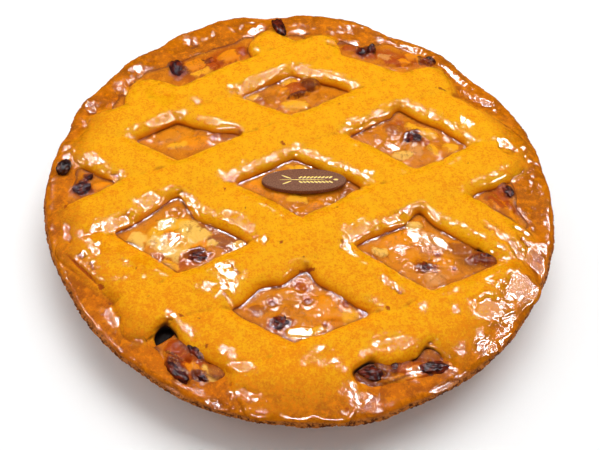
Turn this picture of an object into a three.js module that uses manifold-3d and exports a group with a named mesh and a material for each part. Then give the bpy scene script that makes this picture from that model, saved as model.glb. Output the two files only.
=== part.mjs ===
// A round apple pie with a lattice of wide pastry strips, baked glossy and turned out whole.
// Millimetres, +Z up. The origin is under the middle of the base, on the surface the pie stands on.
// +X runs to the right along the plaque and +Y to the back.
import * as THREE from "three";
import { mergeVertices } from "three/addons/utils/BufferGeometryUtils.js";
import Module from "manifold-3d";

const wasm = await Module();
wasm.setup();

// Driving dimensions of the case
const LIP_RADIUS = 137.5;
const LIP_TOP = 32.4;
const BASE_RADIUS = 121;
const BASE_THICKNESS = 6;
const CASE_SIDES = 72;

// Driving dimensions of the lattice
const STRIP_BOTTOM = 30;
const STRIP_HEIGHT = 6.5;
const OVER_STRIP_LIFT = 0.7;
const LAP_LEVEL = 33.4;
const STRIP_STEPS = 18;

// Driving dimensions of the filling and of what lies on the pie; LARGE_FRUIT is an area in mm2
const FILLING_TOP = 31.2;
const PLAQUE = { x: 0.8, y: 0.6, length: 46, width: 15.5, thickness: 2.8, turn: 7 };
const PLAQUE_SIDES = 32;
const LARGE_FRUIT = 180;
const GAP = 0.3;

// Colour, roughness and metalness of each material
const FINISH = {
  crust: { color: 0xc9741a, roughness: 0.45, metalness: 0 },
  strip: { color: 0xf3a01e, roughness: 0.35, metalness: 0 },
  filling: { color: 0xb8701c, roughness: 0.2, metalness: 0 },
  raisin: { color: 0x3a140a, roughness: 0.25, metalness: 0 },
  chocolate: { color: 0x4a302a, roughness: 0.5, metalness: 0 },
};

// Where the outline of the lip swells or is pinched: angle and half span in degrees, amount in mm
const OUTER_SHIFTS = [
  [24, 9, 2.2], [45, 6, -2.6], [55, 3.5, 2.2], [61, 3, -1.2], [70, 6, -4.4], [80, 7, 1.6],
  [93, 6, 1], [102, 3.5, -2.4], [114, 6, 3], [130, 8, 1.4], [135, 2.5, -1.6], [144, 4, 1.2],
  [162, 4, 2.6], [170, 4, -1.4], [190, 12, 1], [215, 8, -1.6], [238, 12, -1.2], [288, 4, 1.2],
  [298, 6, -0.7], [348, 14, 1.4],
];

// Where the inner side of the lip stands nearer to the rim or to the middle, in the same terms
const INNER_SHIFTS = [
  [5, 9, -4], [40, 12, -6.5], [66, 8, 3.5], [92, 7, -6], [127, 12, -3], [157, 10, -6.5],
  [219, 9, -6.5], [246, 8, 3.5], [300, 10, 1], [342, 7, -4],
];

// The strips that were laid first, from upper left to lower right, as [x, y] along the middle
const UNDER_STRIPS = [
  { width: 27.5, path: [[-38, 108], [-10, 94], [15, 88], [44, 79], [97, 51], [121, 32]] },
  { width: 28.5, path: [[-105, 56], [-75, 49], [-40, 43], [21, 22], [68, -2], [120, -31]] },
  { width: 30.5, path: [[-125, 17], [-91, 1], [-30, -23], [31, -56], [95, -91]] },
  { width: 30, path: [[-117, -47], [-83, -67], [-36, -94], [4, -114], [35, -124]] },
];

// The strips that lie across them, from lower left to upper right
const OVER_STRIPS = [
  { width: 25.5, path: [[-119, 22], [-87, 40], [-43, 73], [-10, 96], [14, 108]] },
  { width: 28.5, path: [[-120, -43], [-42, 9], [32, 60], [62, 79], [81, 89]] },
  { width: 30, path: [[-81, -95], [-27, -62], [31, -19], [91, 18], [119, 38]] },
  { width: 29.5, path: [[-20, -128], [30, -99], [95, -63], [121, -46]] },
];

// Apple pieces in the openings: [x, y, length, width, rise above the filling, turn in degrees]
const APPLE = [
  [-8, 55, 17, 9, 0.9, 15], [-37, 61, 10, 7, 0.8, 30], [12, 70, 16, 9, 0.3, 10],
  [-80, 25, 17, 8, 0.6, 30], [-61, 22, 16, 9, 0.4, 20], [-46, 30, 10, 7, 0.8, 0],
  [66, 46, 22, 9, 1.4, -25], [83, 36, 12, 9, 1, 10], [54, 28, 10, 7, 0.9, 40],
  [-60, -37, 27, 20, 1.6, 10], [-83, -42, 14, 9, 1.2, 60], [-38, -38, 12, 9, 0.7, -20],
  [52, -33, 17, 12, 1, 20], [72, -49, 14, 10, 0.8, -30], [84, -36, 17, 11, 1.1, 0],
  [15, -74, 18, 14, 1.3, 20], [-6, -72, 11, 8, 0.9, 0], [4, -89, 13, 7, 0.8, 20],
  [-68, 86, 14, 8, 1.2, 35], [-55, 94, 14, 9, 1.3, 35], [53, 103, 16, 8, 1.1, 5],
  [-106, -12, 9, 6, 0.6, 0], [109, -3, 22, 9, 1.2, -48], [-52, -104, 13, 9, 1, -30],
  [-44, -110, 12, 8, 0.8, -20], [56, -104, 12, 7, 1, 15], [-26, -3, 9, 6, 0.2, 0],
  [14, -8, 11, 7, 0.2, 20],
];

// Raisins and dark peel in the openings, in the same terms
const DARK_FRUIT = [
  [-7, 72, 26, 8, 2, 50], [61, 42, 9, 7, 2, 20], [50, 50, 8, 6, 1, 0], [-50, -50, 9, 7, 1.4, 30],
  [66, -45, 9, 7, 1.8, 0], [97, -36, 12, 7, 1.2, 15], [-5, -84, 10, 8, 1.5, 0],
  [27, -72, 7, 6, 1.3, 0], [17, -61, 6, 5, 1, 0], [-80, 79, 12, 7, 1.8, 55], [34, 109, 9, 6, 2.2, 80],
  [27, 104, 8, 6, 1.6, 20], [-113, -14, 10, 7, 1.8, -20], [112, 9, 8, 6, 1.8, 0],
  [42, -106, 11, 8, 1.6, 25], [70, -99, 15, 6, 1.8, 25], [-12, -10, 7, 5, 0.2, 0], [1, -16, 7, 5, 0.2, 0],
];

// Raisins that lie free on the lip: [x, y, z of the middle, length, width, height, turn]
const LIP_RAISINS = {
  raisin_left: [-128.5, -5, 34.2, 11, 7.5, 5, 70],
  raisin_back: [-23, 120, 33.4, 15, 8, 6, 115],
};

// A small deep hole in the filling where the steam came out: x, y, radius
const STEAM_HOLE = [-64, -98, 5.5];

function smoothstep(from, to, value) {
  return THREE.MathUtils.smoothstep(value, from, to);
}

// The sum of soft swellings round the pie at an angle in degrees
function shiftAt(angle, shifts) {
  let total = 0;
  for (const [centre, halfSpan, amount] of shifts) {
    const away = THREE.MathUtils.euclideanModulo(angle - centre + 180, 360) - 180;
    total += amount * Math.exp(-((away / halfSpan) ** 2));
  }
  return total;
}

// A slow unevenness in height, as rolled dough has, about 1 at most
function unevenness(x, y, seed) {
  const long = Math.sin(x * 0.071 + seed) * Math.cos(y * 0.063 - 1.7 * seed);
  const short = Math.sin((x + y) * 0.17 + 2.3 * seed) * Math.cos((x - y) * 0.15 - seed);
  return 0.6 * long + 0.4 * short;
}

// The same geometry with shared corners merged and each point moved by a rule
function reshaped(geometry, moveRule) {
  geometry.deleteAttribute("normal");
  geometry.deleteAttribute("uv");
  const merged = mergeVertices(geometry);
  const position = merged.attributes.position;
  const point = new THREE.Vector3();
  for (let i = 0; i < position.count; i++) {
    point.fromBufferAttribute(position, i);
    moveRule(point);
    position.setXYZ(i, point.x, point.y, point.z);
  }
  return mergeVertices(merged);
}

// A closed geometry as a solid that can be cut and joined
function solidOf(geometry) {
  const position = geometry.attributes.position;
  const corners = geometry.index.array;
  const faces = [];
  const a = new THREE.Vector3();
  const b = new THREE.Vector3();
  const c = new THREE.Vector3();
  let volume = 0;
  for (let i = 0; i < corners.length; i += 3) {
    const [p, q, r] = corners.slice(i, i + 3);
    if (p === q || q === r || r === p) continue;
    faces.push([p, q, r]);
    a.fromBufferAttribute(position, p);
    b.fromBufferAttribute(position, q);
    c.fromBufferAttribute(position, r);
    volume += a.dot(b.cross(c));
  }
  if (volume < 0) faces.forEach((face) => face.reverse());
  const mesh = new wasm.Mesh({
    numProp: 3,
    vertProperties: new Float32Array(position.array),
    triVerts: new Uint32Array(faces.flat()),
  });
  return new wasm.Manifold(mesh);
}

// The largest closed body of a solid, without the crumbs that a cut leaves
function mainBody(solid) {
  const bodies = solid.decompose();
  return bodies.reduce((best, body) => (body.volume() > best.volume() ? body : best));
}

function union(solids) {
  return solids.reduce((sum, solid) => sum.add(solid));
}

// A wide block that fills everything between two levels
function layer(bottom, top) {
  const block = new THREE.BoxGeometry(4 * LIP_RADIUS, 4 * LIP_RADIUS, top - bottom);
  return solidOf(reshaped(block, (point) => { point.z += (top + bottom) / 2; }));
}

// A profile of [radius, z] turned about Z, with each point then moved by a rule
function turned(profile, sides, moveRule) {
  const points = profile.map(([radius, z]) => new THREE.Vector2(radius, z));
  const lathe = new THREE.LatheGeometry(points, sides);
  lathe.rotateX(Math.PI / 2);
  return solidOf(reshaped(lathe, moveRule));
}

// Moves a point of the case or filling outwards with the uneven lip
function followLip(point) {
  const radius = Math.hypot(point.x, point.y);
  if (radius < 1) return;
  const angle = THREE.MathUtils.radToDeg(Math.atan2(point.y, point.x));
  const wallMiddle = 116 + 0.48 * point.z;
  const outer = smoothstep(wallMiddle - 4, wallMiddle + 4, radius);
  const outerShift = shiftAt(angle, OUTER_SHIFTS) * outer * smoothstep(2, 20, point.z);
  const innerShift = shiftAt(angle, INNER_SHIFTS) * (1 - outer) * smoothstep(95, 118, radius);
  const scale = (radius + outerShift + innerShift) / radius;
  const lift = unevenness(point.x, point.y, 2) * smoothstep(26, 31, point.z) * outer;
  point.set(point.x * scale, point.y * scale, point.z + lift);
}

// Base, sloping wall and rounded lip in one shell
function caseSolid() {
  const lip = new THREE.SplineCurve([
    new THREE.Vector2(LIP_RADIUS - 6, 22),
    new THREE.Vector2(LIP_RADIUS - 1, 25.2),
    new THREE.Vector2(LIP_RADIUS, 28),
    new THREE.Vector2(LIP_RADIUS - 2, 31),
    new THREE.Vector2(LIP_RADIUS - 6.5, LIP_TOP),
    new THREE.Vector2(LIP_RADIUS - 11, LIP_TOP - 1.2),
    new THREE.Vector2(LIP_RADIUS - 12.5, LIP_TOP - 4),
  ]);
  const profile = [[0, 0], [BASE_RADIUS - 2, 0], [BASE_RADIUS, 2]];
  for (const point of lip.getPoints(9)) profile.push([point.x, point.y]);
  profile.push([119.5, 17], [113, 8], [110, BASE_THICKNESS], [0, BASE_THICKNESS]);
  return turned(profile, CASE_SIDES, followLip);
}

// The section of a strip from side to side: flat below and softly rounded above, 2 wide and 1 high
function loafSection() {
  const squareness = 3.4;
  const outline = [new THREE.Vector2(-1, 0)];
  const corners = 8;
  for (let i = 1; i < corners; i++) {
    const angle = Math.PI * (1 - i / corners);
    const across = Math.sign(Math.cos(angle)) * Math.abs(Math.cos(angle)) ** (2 / squareness);
    outline.push(new THREE.Vector2(across, Math.sin(angle) ** (2 / squareness)));
  }
  outline.push(new THREE.Vector2(1, 0));
  return new THREE.Shape(outline);
}

// One strip along its path with blunt rounded ends, grown on every side by an allowance
function stripSolid({ width, path }, lift, allowance) {
  const middle = new THREE.CatmullRomCurve3(path.map(([x, y]) => new THREE.Vector3(x, y, 0)));
  const length = middle.getLength();
  const straight = new THREE.ExtrudeGeometry(loafSection(), {
    depth: 1, steps: STRIP_STEPS, bevelEnabled: false,
  });
  const top = STRIP_HEIGHT + lift;
  return solidOf(reshaped(straight, (point) => {
    const along = (1 - Math.cos(Math.PI * point.z)) / 2;
    const place = middle.getPointAt(along);
    const ahead = middle.getTangentAt(along);
    const fromEnd = Math.min(along, 1 - along) * length;
    const roundness = Math.sqrt(1 - (1 - Math.min(fromEnd / (0.45 * width), 1)) ** 2);
    const wavy = 1 + 0.03 * Math.sin(along * length * 0.09 + path[0][0]);
    const half = (width / 2) * wavy * (0.5 + 0.5 * roundness) + allowance;
    const high = top * (0.72 + 0.28 * roundness) + 2 * allowance;
    const x = place.x + ahead.y * point.x * half + ahead.x * allowance * (2 * along - 1);
    const y = place.y - ahead.x * point.x * half + ahead.y * allowance * (2 * along - 1);
    const rise = point.y * (high + 0.4 * unevenness(x, y, 1));
    point.set(x, y, STRIP_BOTTOM - allowance + rise);
  }));
}

// A soft irregular lump with its middle at a point, turned about Z
function lump([x, y, z], [length, width, height], turn, detail) {
  const ball = new THREE.IcosahedronGeometry(1, detail);
  const angle = THREE.MathUtils.degToRad(turn);
  return solidOf(reshaped(ball, (point) => {
    const dent = 1 + 0.14 * Math.sin(3 * point.x + x) * Math.cos(4 * point.y + y);
    const along = (point.x * dent * length) / 2;
    const across = (point.y * dent * width) / 2;
    point.set(
      x + along * Math.cos(angle) - across * Math.sin(angle),
      y + along * Math.sin(angle) + across * Math.cos(angle),
      z + (point.z * height) / 2,
    );
  }));
}

// A piece of fruit half sunk in the filling, with more faces on a large one
function sunkFruit([x, y, length, width, rise, turn]) {
  const height = 5;
  const detail = length * width > LARGE_FRUIT ? 1 : 0;
  return lump([x, y, FILLING_TOP + rise - height / 2], [length, width, height], turn, detail);
}

// The filling up to the level that shows between the strips, with its larger pieces
function fillingSolid() {
  const inset = GAP + 0.1;
  const profile = [
    [0, BASE_THICKNESS + GAP], [110 - inset, BASE_THICKNESS + GAP], [113 - inset, 8 + GAP],
    [119.5 - inset, 17 + GAP], [LIP_RADIUS - 12.9 - inset, 27.2], [LIP_RADIUS - 15.5, 29.6],
    [114, FILLING_TOP - 0.4], [92, FILLING_TOP], [60, FILLING_TOP], [28, FILLING_TOP], [0, FILLING_TOP],
  ];
  const core = turned(profile, CASE_SIDES, (point) => {
    if (point.z > 29) point.z += 0.5 * unevenness(point.x, point.y, 3);
    followLip(point);
  });
  const fruit = [...APPLE, ...DARK_FRUIT].map(sunkFruit);
  const [x, y, radius] = STEAM_HOLE;
  const hole = lump([x, y, FILLING_TOP - 1], [2 * radius, 1.6 * radius, 3 * radius], 30, 1);
  return union([core, ...fruit]).subtract(hole);
}

// The oval chocolate plaque, with a rounded edge, lying on the filling
function plaqueSolid() {
  const { x, y, length, width, thickness, turn } = PLAQUE;
  const bottom = FILLING_TOP + GAP + 0.7;
  const round = thickness / 3;
  const half = length / 2;
  const profile = [
    [0, 0], [half - round, 0], [half - 0.3 * round, 0.3 * round], [half, round],
    [half, thickness - round], [half - 0.3 * round, thickness - 0.3 * round],
    [half - round, thickness], [0, thickness],
  ];
  const angle = THREE.MathUtils.degToRad(turn);
  return turned(profile, PLAQUE_SIDES, (point) => {
    const along = point.x;
    const across = (point.y * width) / length;
    point.set(
      x + along * Math.cos(angle) - across * Math.sin(angle),
      y + along * Math.sin(angle) + across * Math.cos(angle),
      bottom + point.z,
    );
  });
}

// A solid as a named mesh in the pie's group
function addPiece(pie, name, solid, finish) {
  const { vertProperties, triVerts } = mainBody(solid).getMesh();
  const geometry = new THREE.BufferGeometry();
  geometry.setAttribute("position", new THREE.BufferAttribute(vertProperties, 3));
  geometry.setIndex(new THREE.BufferAttribute(triVerts, 1));
  geometry.computeVertexNormals();
  const mesh = new THREE.Mesh(geometry, new THREE.MeshStandardMaterial(FINISH[finish]));
  mesh.name = name;
  pie.add(mesh);
}

const under = UNDER_STRIPS.map((strip) => stripSolid(strip, 0, 0));
const over = OVER_STRIPS.map((strip) => stripSolid(strip, OVER_STRIP_LIFT, 0));
const underGrown = union(UNDER_STRIPS.map((strip) => stripSolid(strip, 0, GAP)));
const overGrown = union(OVER_STRIPS.map((strip) => stripSolid(strip, OVER_STRIP_LIFT, GAP)));
const latticeGrown = underGrown.add(overGrown);

const overBed = overGrown.intersect(layer(LAP_LEVEL, LAP_LEVEL + STRIP_HEIGHT));
const underBed = underGrown.intersect(layer(0, LAP_LEVEL + GAP));
const raisins = Object.entries(LIP_RAISINS).map(([name, [x, y, z, length, width, height, turn]]) => ({
  name,
  solid: lump([x, y, z], [length, width, height], turn, 1),
  seat: lump([x, y, z], [length + 3 * GAP, width + 3 * GAP, height + 3 * GAP], turn, 1),
}));
const seats = union(raisins.map(({ seat }) => seat));

const pie = new THREE.Group();
addPiece(pie, "crust", caseSolid().subtract(latticeGrown).subtract(seats), "crust");
addPiece(pie, "filling", fillingSolid().subtract(latticeGrown), "filling");
under.forEach((strip, i) => {
  addPiece(pie, `strip_under_${i + 1}`, strip.subtract(overBed).subtract(seats), "strip");
});
over.forEach((strip, i) => {
  addPiece(pie, `strip_over_${i + 1}`, strip.subtract(underBed).subtract(seats), "strip");
});
for (const { name, solid } of raisins) addPiece(pie, name, solid, "raisin");
addPiece(pie, "plaque", plaqueSolid(), "chocolate");

export default pie;
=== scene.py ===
# %% [markdown]
# # Dressing a lattice apple pie
# The solids of the pie are already there: a case, eight pastry strips, a filling, a chocolate plaque and
# two loose raisins. This lesson keeps their places and sizes, and gives each of them the surface of the
# real thing. The frame is loaded first, because every other number is worked out from it or set beside it.

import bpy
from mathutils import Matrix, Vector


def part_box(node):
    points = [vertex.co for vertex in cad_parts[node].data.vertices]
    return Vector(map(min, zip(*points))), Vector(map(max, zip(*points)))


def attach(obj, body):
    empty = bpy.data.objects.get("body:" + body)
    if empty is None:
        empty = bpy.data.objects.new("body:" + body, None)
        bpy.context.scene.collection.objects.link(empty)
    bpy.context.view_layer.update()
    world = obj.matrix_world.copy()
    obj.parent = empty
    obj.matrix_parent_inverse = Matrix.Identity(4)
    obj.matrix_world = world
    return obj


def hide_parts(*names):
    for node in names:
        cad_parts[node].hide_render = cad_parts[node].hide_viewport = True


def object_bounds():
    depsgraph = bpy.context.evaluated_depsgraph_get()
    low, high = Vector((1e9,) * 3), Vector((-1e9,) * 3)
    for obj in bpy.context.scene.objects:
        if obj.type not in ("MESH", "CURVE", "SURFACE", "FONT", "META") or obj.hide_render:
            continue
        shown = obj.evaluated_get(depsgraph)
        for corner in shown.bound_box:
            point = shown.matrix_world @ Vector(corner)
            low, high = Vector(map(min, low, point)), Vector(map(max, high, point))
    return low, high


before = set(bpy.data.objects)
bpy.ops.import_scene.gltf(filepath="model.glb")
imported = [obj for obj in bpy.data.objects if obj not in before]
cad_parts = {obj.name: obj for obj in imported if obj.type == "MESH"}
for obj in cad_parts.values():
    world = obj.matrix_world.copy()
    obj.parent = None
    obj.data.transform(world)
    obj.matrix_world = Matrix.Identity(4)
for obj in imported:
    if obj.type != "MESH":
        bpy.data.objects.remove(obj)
cad_low, cad_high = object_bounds()
print("solids, lowest and highest corner in m:", list(cad_low), list(cad_high))

# %% Tools and the unit
import math

import bmesh
import bpy
import numpy as np
from mathutils import Matrix, Vector, noise
from mathutils.bvhtree import BVHTree
from mathutils.kdtree import KDTree

MM = 0.001
scene = bpy.context.scene


def add(name, data):
    """A new object in the scene."""
    thing = bpy.data.objects.new(name, data)
    scene.collection.objects.link(thing)
    return thing


def mesh_from(shape):
    """Turns a bmesh into a mesh and lets go of it."""
    mesh = bpy.data.meshes.new("shape")
    shape.to_mesh(mesh)
    shape.free()
    return mesh


# %% [markdown]
# ## The camera
# The pie is seen from in front and well above, from about half a metre away, with the camera turned a
# little about its line of sight. The three axes of the camera are built from these angles, so that nothing
# has to be aimed by eye.

# %% Place the camera
LOOK_DOWN = math.radians(54.835)
ROLL = math.radians(5.24)
CAMERA_DISTANCE = 450 * MM
AIM = Vector((0.77, -25.67, 29.5)) * MM
LENS = 51.15
SENSOR = 36

ahead = Vector((0, math.cos(LOOK_DOWN), -math.sin(LOOK_DOWN)))
level = Vector((1, 0, 0))
above = level.cross(ahead)
right = level * math.cos(ROLL) + above * math.sin(ROLL)
upward = above * math.cos(ROLL) - level * math.sin(ROLL)
lens = bpy.data.cameras.new("camera")
lens.lens = LENS
lens.sensor_width = SENSOR
camera = add("camera", lens)
camera_axes = Matrix((right, upward, -ahead)).transposed().to_4x4()
camera.matrix_world = Matrix.Translation(AIM - ahead * CAMERA_DISTANCE) @ camera_axes
scene.camera = camera
print("camera stands at", [round(x, 3) for x in camera.matrix_world.translation])

# %% [markdown]
# ## Light
# Glaze is read from its reflections. A flat top seen at this angle mirrors a point far behind the pie, and
# a shoulder that leans 10 to 25 degrees to the viewer mirrors the ceiling. So the shop lamp hangs overhead,
# a little behind, where only the shoulders catch it. It has two halves with a gap, which breaks the
# reflection at the far corner of an opening. Each is a dim panel with a bright tube along its edges, widest
# at the back: that gives pale patches with white outlines, as wet glaze has. Two smaller lamps of this kind
# hang at the sides. A window far behind is what level wet patches mirror. A tube to the left, one to the
# right and one behind the camera draw the outline of the lip. These lamps are mirrored only, and wide soft
# ones, which are not mirrored, light the dough. So each can be set alone.

# %% Hang the lamps
def lamp(name, axes, width, depth, brightness, mirrored):
    """A rectangular lamp, in metres, that is either mirrored by gloss or lights what is dull."""
    light = bpy.data.lights.new(name, "AREA")
    light.shape = "RECTANGLE"
    light.size = width
    light.size_y = depth
    light.energy = brightness * math.pi * width * depth
    hung = add(name, light)
    hung.matrix_world = axes
    hung.visible_camera = False
    hung.visible_glossy = mirrored
    hung.visible_diffuse = not mirrored


def facing_the_pie(place, slide=(0, 0, 0)):
    away = Vector(place).to_track_quat("Z", "Y").to_matrix().to_4x4()
    return Matrix.Translation(place) @ away @ Matrix.Translation(slide)


def shop_lamp(name, place, width, depth, back_tube):
    """A dim panel with a bright tube along each edge; the tube at the back has a thickness of its own."""
    lamp(name, facing_the_pie(place), width, depth, PANEL_GLOW, mirrored=True)
    for side, thickness in ((-1, TUBE), (1, back_tube)):
        long_side = facing_the_pie(place, (0, side * depth / 2, 0))
        short_side = facing_the_pie(place, (side * width / 2, 0, 0))
        lamp(name + "_long_tube", long_side, width, thickness, TUBE_GLOW, mirrored=True)
        lamp(name + "_short_tube", short_side, TUBE, depth, TUBE_GLOW, mirrored=True)
    panel_places.append(Vector(place))
    tube_places.append(facing_the_pie(place, (0, depth / 2, 0)).translation)


TUBE = 0.03
PANEL_GLOW = 1.2
TUBE_GLOW = 80
WINDOW_GLOW = 26
WINDOW_PLACE = (0.10, 0.66, 0.80)
SHOP_LAMPS = [
    ("ceiling", (-0.26, 0.13, 1.0), 0.42, 0.2, 0.07), ("ceiling", (0.26, 0.13, 1.0), 0.42, 0.2, 0.07),
    ("right", (0.62, 0.34, 0.82), 0.24, 0.24, TUBE), ("left", (-0.62, 0.40, 0.82), 0.22, 0.22, TUBE),
]
RIM_TUBES = [(-0.8, -0.15, 0.7), (0.8, -0.2, 0.7), (0, -0.75, 0.85)]
panel_places = []
tube_places = [Vector(WINDOW_PLACE)]
lamp("window", facing_the_pie(WINDOW_PLACE), 0.2, 0.14, WINDOW_GLOW, mirrored=True)
for row in SHOP_LAMPS:
    shop_lamp(*row)
for place in RIM_TUBES:
    lamp("rim_tube", facing_the_pie(place), 0.4, 0.07, TUBE_GLOW, mirrored=True)
SOFT_LIGHT = 4.2
SOFT_SIDE_LIGHT = SOFT_LIGHT * 0.4
lamp("soft_ceiling", facing_the_pie((0.1, 0.35, 1.1)), 1.2, 0.7, SOFT_LIGHT, mirrored=False)
lamp("soft_left", facing_the_pie((-0.9, 0.1, 0.8)), 0.6, 0.6, SOFT_SIDE_LIGHT, mirrored=False)
print("lamps, each tube counted:", len(bpy.data.lights))

# %% [markdown]
# A white room would lay a milky veil over everything that shines. The sky lights the dough evenly, and what
# the glaze mirrors of it is kept dim, as in a shop whose walls are dark beside its lamps. For the same
# reason the white floor throws light on the pie but isn't mirrored in its lip.

# %% Give the room a soft white sky and a pale floor
SKY = 0.36
MIRRORED_SKY = 0.02
FLOOR_SIZE = 3
FLOOR_WHITE = 0.96
world = bpy.data.worlds.new("room")
scene.world = world
world.use_nodes = True
sky = world.node_tree.nodes["Background"]
sky.inputs["Color"].default_value = (1, 1, 1, 1)
ray = world.node_tree.nodes.new("ShaderNodeLightPath")
shade = world.node_tree.nodes.new("ShaderNodeMapRange")
shade.inputs["To Min"].default_value = SKY
shade.inputs["To Max"].default_value = MIRRORED_SKY
world.node_tree.links.new(ray.outputs["Is Glossy Ray"], shade.inputs["Value"])
world.node_tree.links.new(shade.outputs["Result"], sky.inputs["Strength"])
scene.view_settings.view_transform = "Standard"

floor_shape = bmesh.new()
bmesh.ops.create_grid(floor_shape, x_segments=1, y_segments=1, size=FLOOR_SIZE)
floor = add("floor", mesh_from(floor_shape))
floor_paint = bpy.data.materials.new("pale_floor")
floor_paint.use_nodes = True
matt = floor_paint.node_tree.nodes["Principled BSDF"]
matt.inputs["Base Color"].default_value = (FLOOR_WHITE, FLOOR_WHITE, FLOOR_WHITE, 1)
matt.inputs["Roughness"].default_value = 0.9
floor.data.materials.append(floor_paint)
floor.visible_glossy = False

# %% [markdown]
# ## Shader sums as plain expressions
# A finish is easier to read as a sum than as boxes and threads. `Wire` wraps one socket: adding or
# multiplying wires adds the Math nodes. `Paint` is one material. Its method `node` adds any other node, and
# `over` paints one colour over another.

# %% A socket that can be added and multiplied
class Wire:
    """The output of a shader node. Sums and products of wires become Math nodes."""

    def __init__(self, paint, socket):
        self.paint = paint
        self.socket = socket

    def combined(self, operation, first, second):
        return self.paint.node("ShaderNodeMath", {"operation": operation}, {0: first, 1: second})

    def __add__(self, other):
        return self.combined("ADD", self, other)

    __radd__ = __add__

    def __sub__(self, other):
        return self.combined("SUBTRACT", self, other)

    def __rsub__(self, other):
        return self.combined("SUBTRACT", other, self)

    def __mul__(self, other):
        return self.combined("MULTIPLY", self, other)


# %% A material that is written as expressions
class Paint:
    """A Principled material on Object coordinates, whose patterns are measured in millimetres."""

    def __init__(self, name, **constants):
        self.material = bpy.data.materials.new(name)
        self.material.use_nodes = True
        self.tree = self.material.node_tree
        self.shader = self.tree.nodes["Principled BSDF"]
        self.place = self.node("ShaderNodeTexCoord", {}, {}, "Object")
        self.set(**constants)

    def set(self, **sockets):
        for name, value in sockets.items():
            self.feed(self.shader.inputs[name.replace("_", " ")], value)

    def node(self, kind, settings, inputs, output=0):
        made = self.tree.nodes.new(kind)
        for name, value in settings.items():
            setattr(made, name, value)
        for name, value in inputs.items():
            self.feed(made.inputs[name], value)
        return Wire(self, made.outputs[output])

    def feed(self, socket, value):
        if isinstance(value, Wire):
            self.tree.links.new(value.socket, socket)
        else:
            socket.default_value = value

    def noise(self, size, detail=2, roughness=0.5, distortion=0):
        sockets = {"Vector": self.place, "Scale": 1 / (size * MM), "Detail": detail}
        sockets.update({"Roughness": roughness, "Distortion": distortion})
        return self.node("ShaderNodeTexNoise", {}, sockets)

    def step(self, value, low, high):
        sockets = {"Value": value, "From Min": low, "From Max": high}
        return self.node("ShaderNodeMapRange", {"interpolation_type": "SMOOTHSTEP"}, sockets)

    def mix(self, share, first, second):
        return self.node("ShaderNodeMix", {"data_type": "RGBA"}, {0: share, 6: first, 7: second}, 2)

    def over(self, base, top, value, low, high, share=1):
        """Paints a colour over another, more of it as a value rises from low to high."""
        return self.mix(self.step(value, low, high) * share, base, top)

    def attribute(self, name, output="Fac"):
        return self.node("ShaderNodeAttribute", {"attribute_name": name}, {}, output)

    def bump(self, height, depth):
        sockets = {"Height": height, "Distance": depth * MM}
        self.set(Normal=self.node("ShaderNodeBump", {}, sockets))

    def dull_where_dry(self, wet, roughness, gloss):
        """Mixes in a dull twin of the shader, with the same colour and relief, where wet is near 0."""
        dull = self.tree.nodes.new("ShaderNodeBsdfPrincipled")
        dull.inputs["Roughness"].default_value = roughness
        dull.inputs["Specular IOR Level"].default_value = gloss
        for name in ("Base Color", "Normal"):
            self.tree.links.new(self.shader.inputs[name].links[0].from_socket, dull.inputs[name])
        sockets = {0: wet, 1: Wire(self, dull.outputs[0]), 2: Wire(self, self.shader.outputs[0])}
        both = self.node("ShaderNodeMixShader", {}, sockets)
        self.feed(self.tree.nodes["Material Output"].inputs["Surface"], both)


def colour(red, green, blue):
    """A colour for a socket, as shares of full light."""
    return (red, green, blue, 1)


# %% [markdown]
# ## Small helpers for meshes
# A dough skin has hundreds of thousands of corners, so they are read and moved all at once as arrays, in
# millimetres. `wave` is soft noise that is as long as it is told to be.

# %% Read, move and mark the corners of a mesh
def read(mesh, name):
    values = np.zeros(len(mesh.vertices) * 3, np.float32)
    mesh.vertices.foreach_get(name, values)
    return values.reshape(-1, 3).astype(float)


def corners(mesh):
    return read(mesh, "co") / MM


def normals(mesh):
    return read(mesh, "normal")


def move_to(mesh, points):
    mesh.vertices.foreach_set("co", (points * MM).astype(np.float32).ravel())
    mesh.update()


def mark(mesh, name, values):
    """Keeps a number for each corner, for the material to read."""
    layer = mesh.attributes.new(name, "FLOAT", "POINT")
    layer.data.foreach_set("value", values.astype(np.float32))


def soft_step(low, high, values):
    share = np.clip((values - low) / (high - low), 0, 1)
    return share * share * (3 - 2 * share)


def inside_the_box(points):
    """Keeps points within the box of the solids, so that the dressed pie never grows."""
    return np.clip(points, np.array(cad_low) / MM + 0.05, np.array(cad_high) / MM - 0.05)


def radius_of(points):
    return np.hypot(points[:, 0], points[:, 1])


# %% Noise in waves, patches and wandering outlines
def wave(points, size, seed=0, octaves=2):
    """Soft noise from about -1 to 1, whose swells are size mm long."""
    shift = Vector((17.3, 5.1, 9.7)) * seed
    return np.array([noise.fractal(Vector(p) / size + shift, 1.0, 2.0, octaves) for p in points])


def swells(points, rows, start=0.0):
    """Waves on waves. Each row is a height and a size in mm, and a seed."""
    return sum((height * wave(points, size, seed) for height, size, seed in rows), start)


def patches(points, size, seed, low, high, octaves=2):
    """Ragged patches of 1 where the noise passes from low to high, and 0 between them."""
    return soft_step(low, high, wave(points, size, seed, octaves))


def wandering(points, amount, size, seed, octaves=2):
    """The points in plan, pushed about, so that an oval measured on them gets a wandering outline."""
    pushes = [wave(points, size, seed + axis, octaves) for axis in (0, 1)]
    return points[:, :2] + amount * np.stack(pushes, 1)


# %% Ovals in plan
def oval(points, x, y, length, width, turn, squareness=2.6):
    """0 in the middle of a rounded oval in plan, 1 at its edge and more outside."""
    slant = math.radians(turn)
    along = (points[:, 0] - x) * math.cos(slant) + (points[:, 1] - y) * math.sin(slant)
    across = (points[:, 1] - y) * math.cos(slant) - (points[:, 0] - x) * math.sin(slant)
    power = squareness
    return (np.abs(along / (length / 2)) ** power + np.abs(across / (width / 2)) ** power) ** (1 / power)


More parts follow.
